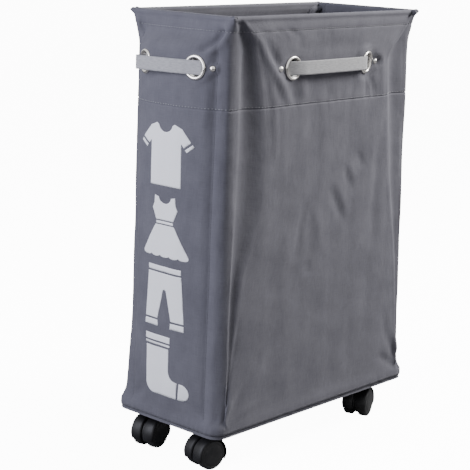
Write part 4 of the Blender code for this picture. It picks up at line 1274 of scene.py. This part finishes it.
def build_sleeve(corner, signs):
    """Cloth tunnel that holds a rod, gathered a little along its length."""
    low, high = (value.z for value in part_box(corner + "_sleeve"))
    place, length = rod_line(signs, low + 0.0004, high - 0.0004)
    outer, inner, weave = [], [], []
    for row in range(POCKET_ROWS + 1):
        up = length * row / POCKET_ROWS
        for column in range(POCKET_COLUMNS):
            angle = math.tau * column / POCKET_COLUMNS
            ease = sum(rise * math.sin(round_count * angle + along * up)
                       for rise, round_count, along in POCKET_GATHERS)
            for wall, radius in ((outer, POCKET_OUTSIDE + ease), (inner, POCKET_INSIDE + 0.3 * ease)):
                wall.append(place @ Vector((radius * math.cos(angle), radius * math.sin(angle), up)))
            weave.append((column * POCKET_COLUMN, up, 0.0))
    faces = grid_faces(POCKET_ROWS + 1, POCKET_COLUMNS, True)
    shift = len(outer)
    faces += [tuple(shift + index for index in reversed(face)) for face in faces]
    for row in (0, POCKET_ROWS):
        for column in range(POCKET_COLUMNS):
            here, there = (row * POCKET_COLUMNS + index % POCKET_COLUMNS for index in (column, column + 1))
            faces.append((here, shift + here, shift + there, there))
    sleeve = add_mesh(corner + "_rod_pocket", outer + inner, faces, LINING, 180.0, weave + weave)
    settle(sleeve, "facing_cloth", "bag", corner + "_sleeve")


def build_rod(corner, signs):
    """Aluminium tube with a black end cap at its top."""
    low, high = (value.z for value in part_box(corner + "_rod"))
    place, length = rod_line(signs, low, high)
    radius, top = ROD_RADIUS, length - CAP_LENGTH
    profile = [(0.0, 0.0004), (radius - 0.0008, 0.0004), (radius, 0.0014), (radius, top - 0.0004),
               (radius - 0.0004, top), (0.0, top)]
    tube = add_mesh(corner + "_rod_tube", *lathe(profile, 32, place), ALUMINIUM, 40.0)
    settle(tube, "rod_aluminium", corner + "_rod", corner + "_rod")
    cap = [(0.0, top + 0.0002), (radius - 0.0002, top + 0.0002), (radius, top + 0.0006),
           (radius, length - 0.0030), (radius - 0.0007, length - 0.0013), (radius - 0.0020, length - 0.0004),
           (0.0, length - 0.0002)]
    end = add_mesh(corner + "_rod_cap", *lathe(cap, 32, place), HOOD, 40.0)
    settle(end, "castor_plastic", corner + "_rod")


# ---- castors ------------------------------------------------------------------------------------
WHEEL_RADIUS = 0.020
WHEEL_HALF = 0.00675
WHEEL_OFFSET = 0.01125               # from the middle of the castor to the middle of a wheel
TRAIL = 0.022
AXLE_HALF, AXLE_RADIUS = 0.0165, 0.0023
# A wheel's faces as (radius, rise): from its inner face outwards, and from its outer face inwards.
WHEEL_INSIDE = mm((2.6, 0), (12, 0), (12.8, 1.2), (16, 1.2), (16.8, 0), (18.2, 0.3))
WHEEL_OUTSIDE = mm((15.6, -0.5), (15.1, -0.8), (14.6, -0.4), (11, 0.3), (6, 0.6), (0, 0.7))
WHEEL_LINE = mm((0, -0.6), (-0.3, -0.3), (-0.3, 0.3), (0, 0.6))      # the moulding line round its tread
WHEEL_INNER_EDGE, WHEEL_EDGE = 0.0018, 0.0036     # radii of the tread's round edges
GUARD_ARC = (-16.0, 204.0)           # degrees round the axle, from the guard's front lip to its back one
GUARD_STEPS = 44
# Half of the guard's section as (across, radius), each from the edge or the middle as its wall runs.
GUARD_OUTSIDE = mm((18, 20.8), (17.8, 21.5), (17, 22.3), (15, 22.8), (10, 23), (3.6, 22.9), (2.4, 22.4),
                   (1.7, 21.2), (1.4, 19.4))
GUARD_MIDDLE = mm((0, 19), (0, 18))               # outside and inside
GUARD_INSIDE = mm((3.6, 18.2), (4, 20.2), (5, 20.7), (11, 20.7), (17.4, 20.5))
WEB_HALF, WEB_ARC_RADIUS = 0.0038, 0.0163
WEB_EDGE = mm((15, 39.5), (6, 41.2), (-3.5, 41.2), (-4.1, 38), (-3.5, 27), (2, 16.5), (9.5, 8.5))
COLLAR = mm((3.3, 27), (3.8, 26.8), (4.2, 27.6), (4.2, 42.4), (5.2, 43), (5.2, 45.2), (4.8, 46), (3.3, 46))


def castor_place(corner):
    """At the floor under the castor's pivot, with +X the way that it trails."""
    pivot = middle(corner + "_castor_plate")
    axle = middle(corner + "_castor_axle")
    heading = math.atan2(axle.y - pivot.y, axle.x - pivot.x)
    return Matrix.Translation(Vector((pivot.x, pivot.y, 0.0))) @ Matrix.Rotation(heading, 4, "Z")


def axle_place(place):
    """At the middle of the axle, with +Z along it."""
    axle = Matrix.Translation(Vector((TRAIL, 0.0, WHEEL_RADIUS)))
    return place @ axle @ Matrix.Rotation(math.radians(-90), 4, "X")


def build_wheel(corner, hand, place, sign):
    """Wheel with a round tread, a moulding line and a smooth domed outer face."""
    half, edge = WHEEL_HALF, WHEEL_EDGE
    shoulder = half - 0.0042
    profile = [(0.0, half - 0.0010), (WHEEL_INSIDE[0][0], half - 0.0010)]
    profile += [(radius, rise - half) for radius, rise in WHEEL_INSIDE]
    profile += arc_points((WHEEL_RADIUS - WHEEL_INNER_EDGE, 0.0021 - half), WHEEL_INNER_EDGE, -75.0, 0.0, 3)
    profile += [(WHEEL_RADIUS + depth, rise) for depth, rise in WHEEL_LINE]
    profile.append((WHEEL_RADIUS, shoulder))
    profile += arc_points((WHEEL_RADIUS - edge, shoulder), edge, 15.0, 90.0, 5)
    profile += [(radius, half + rise) for radius, rise in WHEEL_OUTSIDE]
    move = Matrix.Translation(Vector((0.0, 0.0, sign * WHEEL_OFFSET)))
    face = Matrix.Rotation(math.pi, 4, "X") if sign < 0 else Matrix.Identity(4)
    mesh = lathe(profile, 72, axle_place(place) @ move @ face)
    wheel = add_mesh("%s_castor_wheel_%s" % (corner, hand), *mesh, TREAD, 32.0)
    settle(wheel, "wheel_plastic", "%s_wheel_%s" % (corner, hand), "%s_wheel_%s" % (corner, hand))


def build_axle(corner, place):
    """Steel axle, whose ends are hidden in the wheels."""
    half, radius = AXLE_HALF, AXLE_RADIUS
    profile = [(0.0, -half), (radius - 0.0004, -half), (radius, -half + 0.0005), (radius, half - 0.0005),
               (radius - 0.0004, half), (0.0, half)]
    axle = add_mesh(corner + "_axle_pin", *lathe(profile, 28, axle_place(place)), ZINC, 40.0)
    settle(axle, "plate_steel", corner + "_castor", corner + "_castor_axle")


def build_hood(corner, place):
    """Guard of two round shells with a groove between them, its web and the collar round the stem."""
    outside, inside = list(GUARD_OUTSIDE), list(GUARD_INSIDE)
    across = [(-y, radius) for y, radius in outside] + [GUARD_MIDDLE[0]] + outside[::-1]
    across += inside[::-1] + [GUARD_MIDDLE[1]] + [(-y, radius) for y, radius in inside]
    guard = []
    for step in range(GUARD_STEPS + 1):
        angle = math.radians(between(*GUARD_ARC, step / GUARD_STEPS))
        narrow = between(0.93, 1.0, float(smooth(min(step, GUARD_STEPS - step), 0, 4)))
        for y, radius in across:
            x, z = TRAIL + radius * math.cos(angle), WHEEL_RADIUS + radius * math.sin(angle)
            guard.append(place @ Vector((x, y * narrow, z)))
    web_line = arc_points((TRAIL, WHEEL_RADIUS), WEB_ARC_RADIUS, -88.0, 60.0, 14) + list(WEB_EDGE)
    web = [place @ Vector((x, y, z)) for y in (-WEB_HALF, WEB_HALF) for x, z in web_line]
    parts = [(guard, capped_faces(GUARD_STEPS + 1, len(across))), (web, capped_faces(2, len(web_line))),
             lathe(COLLAR, 32, place, closed=True)]
    hood = add_mesh(corner + "_castor_guard", *joined(parts), HOOD, 40.0)
    settle(hood, "castor_plastic", corner + "_castor", corner + "_castor_hood")


def build_castor(corner):
    place = castor_place(corner)
    build_hood(corner, place)
    build_axle(corner, place)
    build_wheel(corner, "inner", place, -1)
    build_wheel(corner, "outer", place, 1)
    paint(corner + "_castor_plate", ZINC)


def paint(node, material):
    """Gives a CAD node that shows a better material."""
    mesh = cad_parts[node].data
    mesh.materials.clear()
    mesh.materials.append(material)


# ---- camera, floor and light ----------------------------------------------------------------------
CAMERA_PLACE = (-1.44624, -1.25068, 0.69813)
CAMERA_YAW, CAMERA_PITCH, CAMERA_ROLL = 0.831358, -0.218790, 0.032597
CAMERA_LENS, CAMERA_SENSOR = 109.0, 36.0
FLOOR_REACH = 40.0
SEEN_STRENGTH = 12.0                 # how bright the floor and background look to the camera
# Area lights: place, target, size, power and colour.
LIGHTS = {
    "key": ((1.12, -0.85, 1.52), (0.0, 0.0, 0.62), (0.8, 0.8), 68.0, (1.0, 0.985, 0.965)),
    "fill": ((-1.38, 0.36, 0.90), (0.0, 0.0, 0.38), (0.9, 1.1), 28.0, (0.86, 0.875, 1.0)),
    "top": ((0.1, -0.3, 2.0), (0.0, 0.0, 0.32), (1.4, 1.4), 4.0, (1.0, 1.0, 1.0)),
}
WORLD_COLOUR = (0.97, 0.98, 1.0, 1.0)
WORLD_STRENGTH, GLOSSY_STRENGTH = 0.18, 1.1


def build_camera():
    yaw, pitch, roll = CAMERA_YAW, CAMERA_PITCH, CAMERA_ROLL
    ahead = Vector((math.sin(yaw) * math.cos(pitch), math.cos(yaw) * math.cos(pitch), math.sin(pitch)))
    level = Vector((math.cos(yaw), -math.sin(yaw), 0.0))
    up = level.cross(ahead)
    right = math.cos(roll) * level + math.sin(roll) * up
    top = math.cos(roll) * up - math.sin(roll) * level
    data = bpy.data.cameras.new("camera")
    data.lens = CAMERA_LENS
    data.sensor_width = CAMERA_SENSOR
    camera = new_object("camera", data)
    turn = Matrix((right, top, -ahead)).transposed().to_4x4()
    camera.matrix_world = Matrix.Translation(Vector(CAMERA_PLACE)) @ turn
    bpy.context.scene.camera = camera


def build_floor():
    """Pale floor. It shows bright, and sends up no more light than a grey one."""
    nodes = Nodes("pale_floor", 0.75, specular=0.1)
    seen = nodes.add("LightPath").outputs["Is Camera Ray"]
    nodes.tint(seen, (0.22, 0.22, 0.23), (0.90, 0.90, 0.90))
    nodes.shader.inputs["Emission Color"].default_value = (1.0, 1.0, 1.0, 1.0)
    glow = nodes.math("MULTIPLY", seen, SEEN_STRENGTH)
    nodes.tree.links.new(glow, nodes.shader.inputs["Emission Strength"])
    mesh = bpy.data.meshes.new("floor")
    corners = [(x * FLOOR_REACH, y * FLOOR_REACH, 0) for x, y in ((-1, -1), (1, -1), (1, 1), (-1, 1))]
    mesh.from_pydata(corners, [], [(0, 1, 2, 3)])
    mesh.materials.append(nodes.material)
    floor = new_object("floor", mesh)


def build_lights():
    for name, (place, target, size, power, colour) in LIGHTS.items():
        data = bpy.data.lights.new(name, "AREA")
        data.shape = "RECTANGLE"
        data.size, data.size_y = size
        data.energy = power
        data.color = colour
        light = new_object(name, data)
        turn = (Vector(target) - Vector(place)).to_track_quat("-Z", "Y").to_matrix().to_4x4()
        light.matrix_world = Matrix.Translation(Vector(place)) @ turn


def build_world():
    """Pale surroundings: bright where seen, weaker in reflections, and weakest as light."""
    world = bpy.data.worlds.new("studio")
    bpy.context.scene.world = world
    world.use_nodes = True
    tree = world.node_tree
    path = tree.nodes.new("ShaderNodeLightPath")
    strength = None
    for ray, amount in (("Is Camera Ray", SEEN_STRENGTH), ("Is Glossy Ray", GLOSSY_STRENGTH)):
        scaled = tree.nodes.new("ShaderNodeMath")
        scaled.operation = "MULTIPLY_ADD"
        tree.links.new(path.outputs[ray], scaled.inputs[0])
        scaled.inputs[1].default_value = amount
        scaled.inputs[2].default_value = WORLD_STRENGTH
        if strength is not None:
            tree.links.new(strength, scaled.inputs[2])
        strength = scaled.outputs[0]
    background = tree.nodes["Background"]
    background.inputs["Color"].default_value = WORLD_COLOUR
    tree.links.new(strength, background.inputs["Strength"])


# ---- the whole object ---------------------------------------------------------------------------
build_camera()
build_floor()
build_lights()
build_world()
build_base_cover()
build_hem()
build_bag()
build_facing()
build_stitching()
build_print()
for corner_name, corner_signs in CORNERS.items():
    build_rod(corner_name, corner_signs)
    build_sleeve(corner_name, corner_signs)
    build_castor(corner_name)
for side_name in SIDES:
    for hand_name, hand_sign in (("left", -1), ("right", 1)):
        build_eyelet(side_name, hand_name, hand_sign)
        build_rivet(side_name, hand_name, hand_sign)
    build_strap(side_name)
paint("base_board", BOARD)
paint("rim_wire", ZINC)
